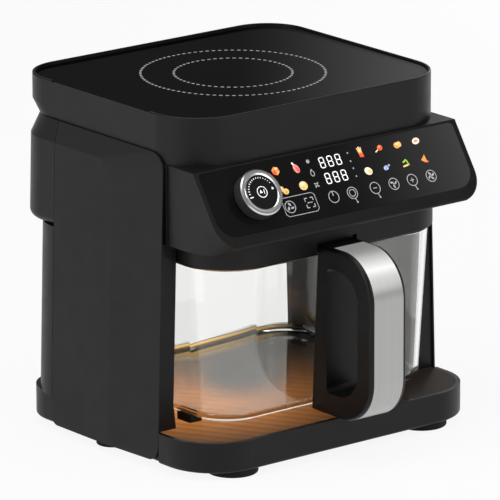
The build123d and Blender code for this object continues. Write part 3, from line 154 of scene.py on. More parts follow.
plastics = {
    "caseBlack": {
        "dark": (0.0065, 0.0065, 0.0067), "light": (0.0084, 0.0084, 0.0086),
        "roughness": 0.42, "shine": 0.22, "cloudScale": 18, "grainScale": 2600, "grain": 0.18,
    },
    "coverCharcoal": {
        "dark": (0.0083, 0.0083, 0.0084), "light": (0.0103, 0.0103, 0.0104),
        "roughness": 0.5, "shine": 0.22, "cloudScale": 14, "grainScale": 2200, "grain": 0.22,
    },
    "trayBlack": {
        "dark": (0.0063, 0.0063, 0.0065), "light": (0.0080, 0.0080, 0.0081),
        "roughness": 0.4, "shine": 0.22, "cloudScale": 16, "grainScale": 2600, "grain": 0.18,
    },
    "gripBlack": {
        "dark": (0.0052, 0.0051, 0.0051), "light": (0.0069, 0.0068, 0.0067),
        "roughness": 0.34, "shine": 0.22, "cloudScale": 24, "grainScale": 3000, "grain": 0.15,
    },
    "innerPlastic": {
        "dark": (0.02, 0.02, 0.02), "light": (0.03, 0.03, 0.03),
        "roughness": 0.55, "shine": 0.4, "cloudScale": 30, "grainScale": 2400, "grain": 0.2,
    },
    "rubberBlack": {
        "dark": (0.0056, 0.0056, 0.0056), "light": (0.0091, 0.0091, 0.0091),
        "roughness": 0.75, "shine": 0.22, "cloudScale": 40, "grainScale": 1800, "grain": 0.3,
    },
    "boardGreen": {
        "dark": (0.01, 0.06, 0.03), "light": (0.015, 0.09, 0.045),
        "roughness": 0.5, "shine": 0.5, "cloudScale": 200, "grainScale": 2000, "grain": 0.1,
    },
    "feltPale": {
        "dark": (0.45, 0.43, 0.38), "light": (0.6, 0.58, 0.52),
        "roughness": 0.9, "shine": 0.2, "cloudScale": 160, "grainScale": 900, "grain": 0.6,
    },
    "ferriteGrey": {
        "dark": (0.03, 0.03, 0.032), "light": (0.045, 0.045, 0.048),
        "roughness": 0.6, "shine": 0.4, "cloudScale": 300, "grainScale": 1500, "grain": 0.3,
    },
    "ceramicPale": {
        "dark": (0.55, 0.52, 0.46), "light": (0.65, 0.62, 0.56),
        "roughness": 0.6, "shine": 0.4, "cloudScale": 90, "grainScale": 1500, "grain": 0.2,
    },
}


# Bare metal: streaks along one direction, from brushing or drawing, and on the handle a painted highlight at
# its bend, glowing in the finish
metalStreak = {
    "scale": 1.0, "detail": 4.0, "rough": 0.65, "roughnessReach": 0.06, "depth": 0.0001, "highlightCurve": 1.5,
}


def streakedMetal(name, look):
    finish, tree, shader = newFinish(name)
    place = objectPlace(tree, look["stretch"])
    streak = noise(tree, place, metalStreak["scale"], metalStreak["detail"], metalStreak["rough"])
    colour = blendColour(tree, spread(tree, streak, 0.0, 1.0), look["dark"], look["light"])
    tree.links.new(colour, shader.inputs["Base Color"])
    reach = metalStreak["roughnessReach"]
    rough = spread(tree, streak, look["roughness"] - reach, look["roughness"] + reach)
    tree.links.new(rough, shader.inputs["Roughness"])
    addBump(tree, shader, streak, look["groove"], metalStreak["depth"])
    shader.inputs["Metallic"].default_value = 1.0
    # A painted highlight: the finish glows in a band round the bend's height
    if "paintedHighlight" in look:
        paintedHighlight = look["paintedHighlight"]
        away = calc(tree, "ABSOLUTE", calc(tree, "SUBTRACT", splitPlace(tree)[2], paintedHighlight["height"]))
        glow = calc(tree, "POWER", spread(tree, away, 1.0, 0.0, 0.0, paintedHighlight["reach"]), metalStreak["highlightCurve"])
        tree.links.new(calc(tree, "MULTIPLY", glow, paintedHighlight["strength"]), shader.inputs["Emission Strength"])
        tree.links.new(colour, shader.inputs["Emission Color"])
    return finish


metals = {
    "handleSteel": {
        "dark": (0.38, 0.38, 0.375), "light": (0.49, 0.49, 0.48),
        "roughness": 0.34, "stretch": (2600, 4, 4), "groove": 0.03,
        "paintedHighlight": {"height": 0.197, "reach": 0.022, "strength": 2.0},
    },
    "plainSteel": {
        "dark": (0.42, 0.42, 0.43), "light": (0.55, 0.55, 0.56),
        "roughness": 0.35, "stretch": (300, 300, 300), "groove": 0.1,
    },
    "sheetMetal": {
        "dark": (0.45, 0.45, 0.46), "light": (0.58, 0.58, 0.59),
        "roughness": 0.4, "stretch": (400, 20, 20), "groove": 0.1,
    },
    "reflectorSteel": {
        "dark": (0.36, 0.35, 0.33), "light": (0.5, 0.48, 0.45),
        "roughness": 0.3, "stretch": (20, 500, 20), "groove": 0.1,
    },
    "brightRing": {
        "dark": (0.75, 0.75, 0.75), "light": (0.9, 0.9, 0.9),
        "roughness": 0.22, "stretch": (60, 60, 60), "groove": 0.03,
    },
    "heaterTube": {
        "dark": (0.07, 0.06, 0.055), "light": (0.12, 0.105, 0.095),
        "roughness": 0.5, "stretch": (200, 200, 200), "groove": 0.2,
    },
    "woundCopper": {
        "dark": (0.45, 0.2, 0.1), "light": (0.62, 0.3, 0.16),
        "roughness": 0.4, "stretch": (900, 900, 900), "groove": 0.4,
    },
}


# Black glass: polished, with the faintest cloud in its colour, and a painted reflection making it paler towards
# one side
glassSmear = {"detail": 2.0, "times": 4, "low": 0.8, "high": 1.3}


def blackGlass(name, look):
    finish, tree, shader = newFinish(name)
    place = objectPlace(tree)
    cloud = noise(tree, place, look["cloudScale"], glassSmear["detail"])
    colour = blendColour(tree, cloud, look["dark"], look["light"])
    x, y = splitPlace(tree)[:2]
    # A painted reflection: the colour turns grey along one direction
    byX, byY = look["reflectionAlong"]
    along = calc(tree, "ADD", calc(tree, "MULTIPLY", x, byX), calc(tree, "MULTIPLY", y, byY))
    reflection = calc(tree, "POWER", spread(tree, along, 0.0, 1.0, *look["reflectionSpan"]), look["reflectionCurve"])
    colour = blendColour(tree, reflection, colour, look["reflectionGrey"])
    tree.links.new(colour, shader.inputs["Base Color"])
    low, high = look["roughness"] * glassSmear["low"], look["roughness"] * glassSmear["high"]
    smear = spread(tree, noise(tree, place, look["cloudScale"] * glassSmear["times"]), low, high)
    tree.links.new(smear, shader.inputs["Roughness"])
    shader.inputs["Specular IOR Level"].default_value = look["shine"]
    return finish


blackGlasses = {
    "hobBlack": {
        "dark": (0.0012, 0.0012, 0.0013), "light": (0.002, 0.002, 0.0022),
        "roughness": 0.1, "shine": 0.005, "cloudScale": 6,
        "reflectionAlong": (0.78, -0.62), "reflectionSpan": (-0.03, 0.2), "reflectionCurve": 1.5,
        "reflectionGrey": (0.11, 0.11, 0.111),
    },
    "panelBlack": {
        "dark": (0.004, 0.004, 0.0042), "light": (0.006, 0.006, 0.0062),
        "roughness": 0.16, "shine": 0.2, "cloudScale": 8,
        "reflectionAlong": (1.0, 0.0), "reflectionSpan": (-0.02, 0.165), "reflectionCurve": 1.8,
        "reflectionGrey": (0.06, 0.06, 0.06),
    },
}


# Clear glass lets lamps through, so that it throws no solid shadow, and where it lies level it mirrors little
def clearGlass(name, look):
    finish, tree, shader = newFinish(name)
    place = objectPlace(tree)
    shader.inputs["Transmission Weight"].default_value = 1.0
    shader.inputs["IOR"].default_value = look["ior"]
    shader.inputs["Base Color"].default_value = (*look["tint"], 1.0)
    film = noise(tree, place, look["filmScale"], look["filmDetail"])
    rough = spread(tree, film, look["roughness"] * look["filmLow"], look["roughness"])
    tree.links.new(rough, shader.inputs["Roughness"])
    ray = addNode(tree, "ShaderNodeLightPath").outputs["Is Shadow Ray"]
    clear = addNode(tree, "ShaderNodeBsdfTransparent", {"Color": (*look["shadowTint"], 1.0)})
    normal = addNode(tree, "ShaderNodeNewGeometry").outputs["Normal"]
    facing = addNode(tree, "ShaderNodeSeparateXYZ", {0: normal}).outputs[2]
    level = calc(tree, "GREATER_THAN", calc(tree, "ABSOLUTE", facing), look["levelFrom"])
    through = calc(tree, "MAXIMUM", ray, calc(tree, "MULTIPLY", level, look["levelClear"]))
    both = addNode(tree, "ShaderNodeMixShader", {0: through, 1: shader.outputs[0], 2: clear.outputs[0]})
    tree.links.new(both.outputs[0], tree.nodes["Material Output"].inputs["Surface"])
    return finish


clearGlasses = {
    "potGlass": {
        "tint": (0.985, 0.99, 0.98), "shadowTint": (0.92, 0.93, 0.92), "ior": 1.47,
        "roughness": 0.012, "filmScale": 30, "filmDetail": 2.0, "filmLow": 0.4,
        "levelFrom": 0.985, "levelClear": 0.82,
    },
}

# The deck's glow is painted light standing in for warm light from above: amber in front, pale along the rear,
# painted shade between
deckPaintedGlow = {
    "dark": (0.012, 0.009, 0.007),
    "amber": (0.74, 0.27, 0.062),
    "rearLightColour": (1.0, 0.62, 0.18),
    "shadeGrey": (0.06, 0.05, 0.042),
    "front": {"centre": (-0.075, 0.0), "axis": (1.0, 0.0), "reach": (0.21, 0.19),
              "core": 0.15, "curve": 2.0},
    "rear": {"centre": (0.03, 0.165), "axis": (1.0, 0.0), "reach": (0.14, 0.05),
             "core": 0.1, "curve": 1.0},
    "shade": {"centre": (0.012, 0.055), "axis": (0.65, 0.76), "reach": (0.1, 0.058),
              "core": 0.5, "curve": 1.0},
    "bandPitch": 0.016,
    "bandTurn": 0.6,
    "bandDepth": (0.72, 1.06),
    "mottleStretch": (1, 4, 1),
    "mottleScale": 22,
    "mottleDepth": (0.9, 1.1),
    "roughness": 0.42,
    "shine": 0.04,
}


def squared(tree, value, reach):
    return calc(tree, "POWER", calc(tree, "ABSOLUTE", calc(tree, "DIVIDE", value, reach)), 2.0)


# An oval patch, 1 in its core and 0 past its reach
def fallOff(tree, x, y, spot):
    across = calc(tree, "SUBTRACT", x, spot["centre"][0])
    along = calc(tree, "SUBTRACT", y, spot["centre"][1])
    cosine, sine = spot["axis"]
    first = calc(tree, "ADD", calc(tree, "MULTIPLY", across, cosine), calc(tree, "MULTIPLY", along, sine))
    second = calc(tree, "SUBTRACT", calc(tree, "MULTIPLY", along, cosine), calc(tree, "MULTIPLY", across, sine))
    first = squared(tree, first, spot["reach"][0])
    second = squared(tree, second, spot["reach"][1])
    away = calc(tree, "SQRT", calc(tree, "ADD", first, second))
    return calc(tree, "POWER", spread(tree, away, 1.0, 0.0, spot["core"], 1.0), spot["curve"])


def paintDeckLight():
    finish, tree, shader = newFinish("deckPaintedLight")
    x, y = splitPlace(tree)[:2]
    front = fallOff(tree, x, y, deckPaintedGlow["front"])
    rear = fallOff(tree, x, y, deckPaintedGlow["rear"])
    shade = fallOff(tree, x, y, deckPaintedGlow["shade"])
    # Stripes and mottle vary the strength of the painted light
    slant = calc(tree, "ADD", x, calc(tree, "MULTIPLY", y, deckPaintedGlow["bandTurn"]))
    wave = calc(tree, "SINE", calc(tree, "MULTIPLY", slant, math.tau / deckPaintedGlow["bandPitch"]))
    band = spread(tree, wave, *deckPaintedGlow["bandDepth"], -1.0, 1.0)
    patch = noise(tree, objectPlace(tree, deckPaintedGlow["mottleStretch"]), deckPaintedGlow["mottleScale"])
    mottle = spread(tree, patch, *deckPaintedGlow["mottleDepth"])
    level = calc(tree, "MULTIPLY", calc(tree, "MULTIPLY", front, band), mottle)
    colour = blendColour(tree, level, deckPaintedGlow["dark"], deckPaintedGlow["amber"])
    # Painted shade: a grey patch in the middle of the painted glow
    colour = blendColour(tree, shade, colour, deckPaintedGlow["shadeGrey"])
    colour = blendColour(tree, rear, colour, deckPaintedGlow["rearLightColour"])
    shader.inputs["Base Color"].default_value = (*deckPaintedGlow["dark"], 1.0)
    # The painted light is emission in the deck's own finish
    tree.links.new(colour, shader.inputs["Emission Color"])
    shader.inputs["Emission Strength"].default_value = 1.0
    shader.inputs["Roughness"].default_value = deckPaintedGlow["roughness"]
    shader.inputs["Specular IOR Level"].default_value = deckPaintedGlow["shine"]
    return finish


finishes = {name: mouldedPlastic(name, look) for name, look in plastics.items()}
finishes.update({name: streakedMetal(name, look) for name, look in metals.items()})
finishes.update({name: blackGlass(name, look) for name, look in blackGlasses.items()})
finishes.update({name: clearGlass(name, look) for name, look in clearGlasses.items()})
finishes["deckPaintedLight"] = paintDeckLight()

# The knob's side is dark and speckled, and its front edge is bright turned metal
knobLook = {
    "top": (0, -0.093, 0.3005), "out": (-0.8283, 0.5603), "edge": 0.0122, "soft": 0.0005,
    "side": (0.035, 0.035, 0.035), "speck": (0.1, 0.1, 0.1), "bright": (0.78, 0.78, 0.78),
    "speckScale": 1400, "speckDetail": 2.0, "speckSpan": (0.45, 0.62),
    "roughness": (0.45, 0.24), "metal": (0.6, 1.0), "grain": 0.15, "grainDepth": 0.0001,
}


def knobFinish():
    finish, tree, shader = newFinish("knobBarrel")
    y, z = splitPlace(tree)[1:]
    forward = calc(tree, "MULTIPLY", calc(tree, "SUBTRACT", y, knobLook["top"][1]), knobLook["out"][0])
    upward = calc(tree, "MULTIPLY", calc(tree, "SUBTRACT", z, knobLook["top"][2]), knobLook["out"][1])
    height = calc(tree, "ADD", forward, upward)
    low, high = knobLook["edge"] - knobLook["soft"], knobLook["edge"] + knobLook["soft"]
    front = spread(tree, height, 0.0, 1.0, low, high)
    specks = noise(tree, objectPlace(tree), knobLook["speckScale"], knobLook["speckDetail"])
    speckled = spread(tree, specks, 0.0, 1.0, *knobLook["speckSpan"])
    side = blendColour(tree, speckled, knobLook["side"], knobLook["speck"])
    tree.links.new(blendColour(tree, front, side, knobLook["bright"]), shader.inputs["Base Color"])
    tree.links.new(spread(tree, front, *knobLook["roughness"], 0.0, 1.0), shader.inputs["Roughness"])
    tree.links.new(spread(tree, front, *knobLook["metal"], 0.0, 1.0), shader.inputs["Metallic"])
    addBump(tree, shader, specks, knobLook["grain"], knobLook["grainDepth"])
    return finish


finishes["knobBarrel"] = knobFinish()

nodeFinish = {
    "caseBlack": ["base_shell", "left_column", "right_column", "head_shell", "rear_housing", "hood_collar",
                  "bottom_plate"],
    "coverCharcoal": ["left_side_cover", "right_side_cover"],
    "trayBlack": ["tray_housing", "rear_vent_grille"],
    "gripBlack": ["handle_grip", "knob_face", "knob_button", "display_module"],
    "innerPlastic": ["coil_carrier", "encoder", "rear_fan_frame", "rear_fan_rotor", "pot_sensor"],
    "rubberBlack": ["front_feet", "side_feet", "rear_feet", "pot_rests", "glass_seal", "handle_gasket",
                    "cord_gland"],
    "boardGreen": ["hob_board", "control_board", "power_board"],
    "feltPale": ["coil_insulation", "chamber_insulation"],
    "ferriteGrey": ["ferrite_bars", "pot_magnet"],
    "ceramicPale": ["chamber_lamp"],
    "handleSteel": ["handle_strip"],
    "knobBarrel": ["knob_barrel"],
    "plainSteel": ["base_screws", "handle_screws", "clamp_plate", "motor_shaft", "knob_shaft",
                   "temperature_probe"],
    "sheetMetal": ["hob_sensor", "motor_bracket", "motor", "convection_fan", "cooling_impeller"],
    "reflectorSteel": ["heat_reflector", "heater_guard"],
    "heaterTube": ["heater_element"],
    "woundCopper": ["induction_coil"],
    "hobBlack": ["hob_glass"],
    "panelBlack": ["control_glass"],
    "potGlass": ["glass_pot", "lamp_lens"],
    "deckPaintedLight": ["deck_panel"],
}
for finishName, nodeNames in nodeFinish.items():
    for nodeName in nodeNames:
        slots = nodes[nodeName].data.materials
        if not slots:
            slots.append(finishes[finishName])
        for index in range(len(slots)):
            slots[index] = finishes[finishName]
print("finishes on", sum(len(names) for names in nodeFinish.values()), "nodes")

# Flat marks lie on a sheet: the slope of the panel, the hob, or the face of the knob
slope = {
    "top": Vector((0, -0.093, 0.3005)), "run": 0.5603, "drop": 0.8283, "tilt": math.radians(55.923),
    "glassSink": 0.0003,
}
hobCentre = Vector((0, 0.04925, 0.345))
slopeUp = Vector((0, slope["run"], slope["drop"]))
slopeOut = Vector((0, -slope["drop"], slope["run"]))
knobSpot = {"x": -0.1024, "down": 0.0346, "faceRise": 0.0128, "buttonRise": 0.0132}
thinMark = {"thick": 0.00008, "float": 0.00002, "clip": 0.28, "layer": 0.00003, "layers": 6}


def panelSheet(x, down, rise):
    place = slope["top"] + Vector((x, 0, 0)) - slopeUp * down + slopeOut * rise
    return Matrix.Translation(place) @ Matrix.Rotation(slope["tilt"], 4, "X")


sheets = {
    "panel": panelSheet(0, 0, thinMark["float"] - slope["glassSink"]),
    "knobFace": panelSheet(knobSpot["x"], knobSpot["down"], knobSpot["faceRise"] + thinMark["float"]),
    "knobButton": panelSheet(knobSpot["x"], knobSpot["down"], knobSpot["buttonRise"] + thinMark["float"]),
    "hob": Matrix.Translation(hobCentre + Vector((0, 0, thinMark["float"]))),
}


def deselectAll():
    if bpy.context.mode != "OBJECT":
        bpy.ops.object.mode_set(mode="OBJECT")
    bpy.ops.object.select_all(action="DESELECT")


def settle(piece, matrix):
    piece.matrix_world = matrix
    deselectAll()
    piece.select_set(True)
    bpy.context.view_layer.objects.active = piece
    bpy.ops.object.transform_apply(location=True, rotation=True, scale=True)


# One mark in millimetres on its sheet: a slab with clipped corners, a disc, or a ring
def stamp(sheet, shape, across, up, width, height, turn=0.0, corners=28, line=0.6):
    deselectAll()
    if shape == "slab":
        bpy.ops.mesh.primitive_plane_add(size=1)
    else:
        bpy.ops.mesh.primitive_circle_add(vertices=corners, radius=0.5, fill_type="NGON")
    mark = bpy.context.active_object
    place = Matrix.Translation((across / 1000, up / 1000, 0))
    grow = Matrix.Diagonal((width / 1000, height / 1000, 1, 1))
    settle(mark, place @ Matrix.Rotation(math.radians(turn), 4, "Z") @ grow)
    bpy.ops.object.mode_set(mode="EDIT")
    bpy.ops.mesh.select_all(action="SELECT")
    if shape == "slab":
        bpy.ops.mesh.bevel(offset=min(width, height) / 1000 * thinMark["clip"], affect="VERTICES", segments=1)
    if shape == "ring":
        bpy.ops.mesh.inset(thickness=line / 1000)
        bpy.ops.mesh.delete(type="FACE")
    bpy.ops.object.mode_set(mode="OBJECT")
    settle(mark, sheets[sheet])
    return mark


def copyMark(mark, matrix):
    twin = mark.copy()
    twin.data = mark.data.copy()
    bpy.context.collection.objects.link(twin)
    settle(twin, matrix)
    return twin


def joinMarks(marks, name, finishName, body):
    deselectAll()
    for mark in marks:
        mark.select_set(True)
    bpy.context.view_layer.objects.active = marks[0]
    if len(marks) > 1:
        bpy.ops.object.join()
    sheetMark = bpy.context.active_object
    sheetMark.name = name
    thicken = sheetMark.modifiers.new("thicken", "SOLIDIFY")
    thicken.thickness = thinMark["thick"]
    thicken.offset = 1.0
    bpy.ops.object.modifier_apply(modifier="thicken")
    sheetMark.data.materials.clear()
    sheetMark.data.materials.append(finishes[finishName])
    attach(sheetMark, body)


# Lit prints glow a little, and the hob's unlit dashes glow as painted light, with a slightly uneven colour
# across each mark
printPatch = {"detail": 2.0, "roughness": (0.35, 0.5)}


def printFinish(name, look):
    finish, tree, shader = newFinish(name)
    patch = noise(tree, objectPlace(tree), look["patchScale"], printPatch["detail"])
    colour = blendColour(tree, spread(tree, patch, 0.0, 1.0), look["dark"], look["light"])
    tree.links.new(colour, shader.inputs["Base Color"])
    tree.links.new(colour, shader.inputs["Emission Color"])
    shader.inputs["Emission Strength"].default_value = look["glow"]
    tree.links.new(spread(tree, patch, *printPatch["roughness"]), shader.inputs["Roughness"])
    return finish


prints = {
    "printWhite": {"dark": (0.72, 0.72, 0.72), "light": (0.92, 0.92, 0.92), "glow": 0.75, "patchScale": 300},
    "printGrey": {"dark": (0.36, 0.36, 0.36), "light": (0.5, 0.5, 0.5), "glow": 0.35, "patchScale": 300},
    "printRed": {"dark": (0.62, 0.05, 0.02), "light": (0.85, 0.14, 0.05), "glow": 0.6, "patchScale": 500},
    "printOrange": {"dark": (0.75, 0.22, 0.04), "light": (0.92, 0.4, 0.1), "glow": 0.6, "patchScale": 500},
    "printTan": {"dark": (0.7, 0.38, 0.1), "light": (0.92, 0.62, 0.25), "glow": 0.6, "patchScale": 500},
    "printPink": {"dark": (0.75, 0.1, 0.12), "light": (0.9, 0.35, 0.32), "glow": 0.6, "patchScale": 500},
    "printCream": {"dark": (0.72, 0.58, 0.4), "light": (0.92, 0.84, 0.68), "glow": 0.6, "patchScale": 500},
    "printGreen": {"dark": (0.2, 0.4, 0.04), "light": (0.5, 0.7, 0.1), "glow": 0.5, "patchScale": 500},
    "printBlue": {"dark": (0.2, 0.26, 0.5), "light": (0.55, 0.62, 0.85), "glow": 0.5, "patchScale": 500},
    # The hob's dashes are not lit, so their small glow is painted light
    "hobDots": {"dark": (0.3, 0.3, 0.3), "light": (0.4, 0.4, 0.4), "glow": 0.12, "patchScale": 400},
}
finishes.update({name: printFinish(name, look) for name, look in prints.items()})

# Each food picture: where it is, then its shapes as colour, shape, across, up, width, height, turn, corners
foodMarks = {
    "meatCube": (-68, 13.8, [
        ("printOrange", "disc", 0, 0, 9.4, 9.0, 12, 6), ("printRed", "slab", -1.6, -1.2, 4.8, 4.6, 14, 4),
        ("printCream", "slab", 1.2, 2.4, 3.2, 1.4, 24, 4)]),
    "roastFruit": (-44, 15, [
        ("printPink", "disc", 0.4, -0.8, 6.6, 9.6, 18, 20), ("printRed", "disc", 1.6, -2.4, 2.8, 5.4, 18, 16),
        ("printCream", "disc", -2.0, 4.6, 2.2, 3.6, 28, 12)]),
    "nuts": (-67, 33.9, [
        ("printTan", "disc", -2.4, 1.6, 6.0, 5.6, 0, 18), ("printTan", "disc", 2.0, -1.6, 6.8, 6.0, 0, 18),
        ("printCream", "disc", -2.4, 2.4, 2.8, 1.6, 20, 12),
        ("printOrange", "disc", 2.2, -2.4, 3.4, 1.8, 20, 12)]),
    "bun": (-43, 33.6, [
        ("printTan", "disc", 0, 0, 9.8, 9.0, 0, 22), ("printCream", "disc", -1.0, 1.6, 6.0, 3.4, 12, 16),
        ("printOrange", "disc", 1.0, -2.4, 5.6, 2.2, 16, 14)]),
    "friesCup": (36.6, 13.8, [
        ("printTan", "slab", -2.2, 3.2, 1.5, 5.2, 12, 4), ("printCream", "slab", -0.4, 3.8, 1.5, 5.6, 2, 4),
        ("printTan", "slab", 1.4, 3.4, 1.5, 5.2, -8, 4), ("printRed", "disc", 0, -1.8, 6.4, 7.6, 45, 4),
        ("printOrange", "disc", 0, 0.4, 4.4, 2.2, 0, 14)]),
    "drumstick": (59.3, 13.4, [
        ("printRed", "disc", 1.6, 0.8, 6.6, 5.6, 20, 18), ("printOrange", "disc", 1.2, 1.8, 3.2, 2.0, 30, 12),
        ("printCream", "slab", -3.2, -1.8, 4.4, 1.2, 28, 4)]),
    "pastry": (82.7, 13.7, [
        ("printOrange", "disc", -1.2, 0, 7.0, 6.4, 0, 18), ("printTan", "disc", 2.0, 0.6, 5.2, 5.8, 0, 18),
        ("printCream", "disc", -0.6, 1.4, 3.6, 1.8, 15, 12),
        ("printRed", "disc", 0.6, -1.2, 3.0, 1.2, 10, 12)]),
    "sausage": (105.7, 13.4, [
        ("printCream", "disc", 0, 0, 9.2, 6.4, 12, 22), ("printPink", "disc", 0, 0, 5.2, 2.6, 12, 16)]),
    "dough": (37.6, 32.9, [
        ("printCream", "disc", 0, 0, 9.2, 7.8, -24, 20), ("printTan", "disc", 1.4, -1.0, 4.4, 3.6, -24, 14)]),
    "fish": (60.2, 33.1, [
        ("printBlue", "disc", -0.8, -0.4, 6.2, 4.8, 16, 18),
        ("printWhite", "disc", -1.6, 0.6, 3.2, 2.0, 16, 12),
        ("printBlue", "disc", 3.6, 1.6, 3.4, 3.0, 16, 3)]),
    "vegetables": (84, 33.1, [
        ("printGreen", "slab", -0.6, 2.4, 5.4, 1.7, 30, 4), ("printGreen", "slab", 2.6, 0.2, 1.7, 6.0, 14, 4),
        ("printTan", "slab", -1.0, -2.4, 6.4, 1.8, 8, 4)]),
    "slice": (107.5, 32.9, [
        ("printOrange", "disc", 0, 0, 10.2, 8.2, 96, 3), ("printTan", "disc", -0.4, 0.4, 6.0, 4.6, 96, 3),
        ("printRed", "slab", 1.2, -2.6, 6.2, 1.2, -6, 4)]),
}
byColour = {}
for across, down, shapes in foodMarks.values():
    for colour, shape, right, up, width, height, turn, corners in shapes:
        stamped = sum(len(marks) for marks in byColour.values())
        layer = thinMark["layer"] * (1 + stamped % thinMark["layers"])
        mark = stamp("panel", shape, across + right, up - down, width, height, turn, corners)
        mark.location += slopeOut * layer
        byColour.setdefault(colour, []).append(mark)
for colour, marks in byColour.items():
    for mark in marks:
        settle(mark, mark.matrix_world.copy())
    joinMarks(marks, "foodPictures" + colour.removeprefix("print"), colour, "root")
print("food pictures printed")

# Seven-segment figures: one is built, then copied along two rows
figure = {
    "width": 6.4, "height": 11.2, "line": 1.05, "gap": 0.35,
    "pitch": 9.9, "left": -11.6, "columns": 3, "rows": (15.3, 31.7),
}


def figureMarks():
    reachX = figure["width"] / 2 - figure["line"] / 2
    reachY = figure["height"] / 2 - figure["line"] / 2
    flat = figure["width"] - figure["line"] - 2 * figure["gap"]
    tall = reachY - 2 * figure["gap"]
    marks = [stamp("panel", "slab", 0, y, flat, figure["line"]) for y in (-reachY, 0, reachY)]
    for x in (-reachX, reachX):
        marks += [stamp("panel", "slab", x, y, figure["line"], tall) for y in (-reachY / 2, reachY / 2)]
    return marks


lit = []
first = figureMarks()
for row in figure["rows"]:
    for column in range(figure["columns"]):
        right = (figure["left"] + column * figure["pitch"]) / 1000
        shift = Matrix.Translation(Vector((right, 0, 0)) - slopeUp * (row / 1000))
        lit += [copyMark(mark, shift) for mark in first]
for mark in first:
    bpy.data.objects.remove(mark)
joinMarks(lit, "timerFigures", "printWhite", "root")
print("figures printed")

# Touch marks: rings with a sign inside, some with a short tail below
# Each row of a mark is its shape, across, up, width, height, turn, corners, line
touchLook = {
    "row": -50.6,
    "ringsAt": (-13.3, 9.6, 37.8, 61.3, 84.2, 108.0),
    "ring": (12.4, 12.4, 0, 40, 0.75),
    "tailsAt": (9.6, 37.8, 84.2),
    "tail": [("slab", 1.6, -7.8, 0.9, 3.4, 16), ("disc", 2.2, -9.9, 1.9, 1.9, 0, 12)],
    "signs": [
        ("slab", -13.3, 3.6, 1.0, 5.0), ("ring", 9.6, 0, 7.6, 7.6, 0, 24, 0.7), ("slab", 37.8, 0, 4.6, 0.8),
        ("slab", 84.2, 0, 4.8, 0.8), ("slab", 84.2, 0, 0.8, 4.8),
    ],
    "fansAt": ((61.3, 3), (108.0, 4)),
    "blade": {"start": 20, "reach": 2.6, "size": (4.0, 1.9), "lean": 30, "corners": 14},
    "hub": (1.5, 1.5, 0, 12),
}


def bladeMarks(across, up, count, blade):
    marks = []
    for index in range(count):
        turn = 360 / count * index + blade["start"]
        x = across + blade["reach"] * math.cos(math.radians(turn))
        y = up + blade["reach"] * math.sin(math.radians(turn))
        marks.append(stamp("panel", "disc", x, y, *blade["size"], turn + blade["lean"], blade["corners"]))
    return marks


touchRow = touchLook["row"]
touch = [stamp("panel", "ring", x, touchRow, *touchLook["ring"]) for x in touchLook["ringsAt"]]
for x in touchLook["tailsAt"]:
    for shape, right, up, *rest in touchLook["tail"]:
        touch.append(stamp("panel", shape, x + right, touchRow + up, *rest))
touch += [stamp("panel", shape, x, touchRow + up, *rest) for shape, x, up, *rest in touchLook["signs"]]
for x, count in touchLook["fansAt"]:
    touch += bladeMarks(x, touchRow, count, touchLook["blade"])
    touch.append(stamp("panel", "disc", x, touchRow, *touchLook["hub"]))
joinMarks(touch, "touchMarks", "printGrey", "root")

# The framed pair beside the knob, and the small marks beside the figures
guideLook = {
    "frame": [
        ("slab", -54.5, -41.5, 34.4, 0.6), ("slab", -54.5, -60.6, 34.4, 0.6),
        ("slab", -74.4, -51.1, 0.6, 13.4), ("slab", -34.6, -51.1, 0.6, 13.4),
        ("slab", -73.4, -43.1, 4.2, 0.6, 45), ("slab", -35.6, -43.1, 4.2, 0.6, -45),
        ("slab", -73.4, -59.0, 4.2, 0.6, -45), ("slab", -35.6, -59.0, 4.2, 0.6, 45),
        ("ring", -66.8, -51.2, 12.6, 12.6, 0, 40, 0.75),
    ],
    "fan": (-66.8, -51.2, 3, {"start": 90, "reach": 2.6, "size": (4.2, 2.2), "lean": 40, "corners": 14}),
    "bracketAt": (-42.8, -51.0),
    "bracket": [("slab", 3.4, 4.8, 3.4, 0.9), ("slab", 4.8, 3.2, 0.9, 3.4)],
    "signs": [
        ("slab", -42.8, -51.0, 6.4, 0.9), ("ring", -27.2, -23.6, 5.0, 6.2, 0, 20, 0.8),
        ("disc", -27.2, -20.2, 2.6, 3.0, 90, 3),
    ],
    "smallFan": (-27.4, -35.5, 4, {"start": 45, "reach": 1.9, "size": (3.0, 1.4), "lean": 25, "corners": 12}),
    "dots": [
        ("disc", -27.5, -11.2, 4.4, 4.4, 30, 5), ("disc", 21.6, -11.0, 1.7, 1.7, 0, 14),
        ("disc", 21.6, -19.6, 1.7, 1.7, 0, 14), ("disc", 21.6, -27.0, 1.7, 1.7, 0, 14),
        ("disc", 21.6, -35.3, 1.7, 1.7, 0, 14),
    ],
}
guides = [stamp("panel", *row) for row in guideLook["frame"]] + bladeMarks(*guideLook["fan"])
middleX, middleY = guideLook["bracketAt"]
for side in (-1, 1):
    for level in (-1, 1):
        for shape, x, y, width, height in guideLook["bracket"]:
            guides.append(stamp("panel", shape, middleX + side * x, middleY + level * y, width, height))
guides += [stamp("panel", *row) for row in guideLook["signs"]] + bladeMarks(*guideLook["smallFan"])
guides += [stamp("panel", *row) for row in guideLook["dots"]]
joinMarks(guides, "guideMarks", "printGrey", "root")
print("touch and guide marks printed")

# Hob rings: dashes round two circles
hobRings = {"radii": (90.0, 57.7), "counts": (90, 57), "length": 3.7, "width": 2.4}
dashes = []
for radius, count in zip(hobRings["radii"], hobRings["counts"]):
    seed = stamp("hob", "slab", 0, 0, hobRings["width"], hobRings["length"])
    centre = sheets["hob"]
    for index in range(count):
        turn = Matrix.Rotation(math.tau * index / count, 4, "Z")
        shift = centre @ turn @ Matrix.Translation((radius / 1000, 0, 0)) @ centre.inverted()
        dashes.append(copyMark(seed, shift))
    bpy.data.objects.remove(seed)
joinMarks(dashes, "hobRingDashes", "hobDots", "root")
print("hob rings printed")

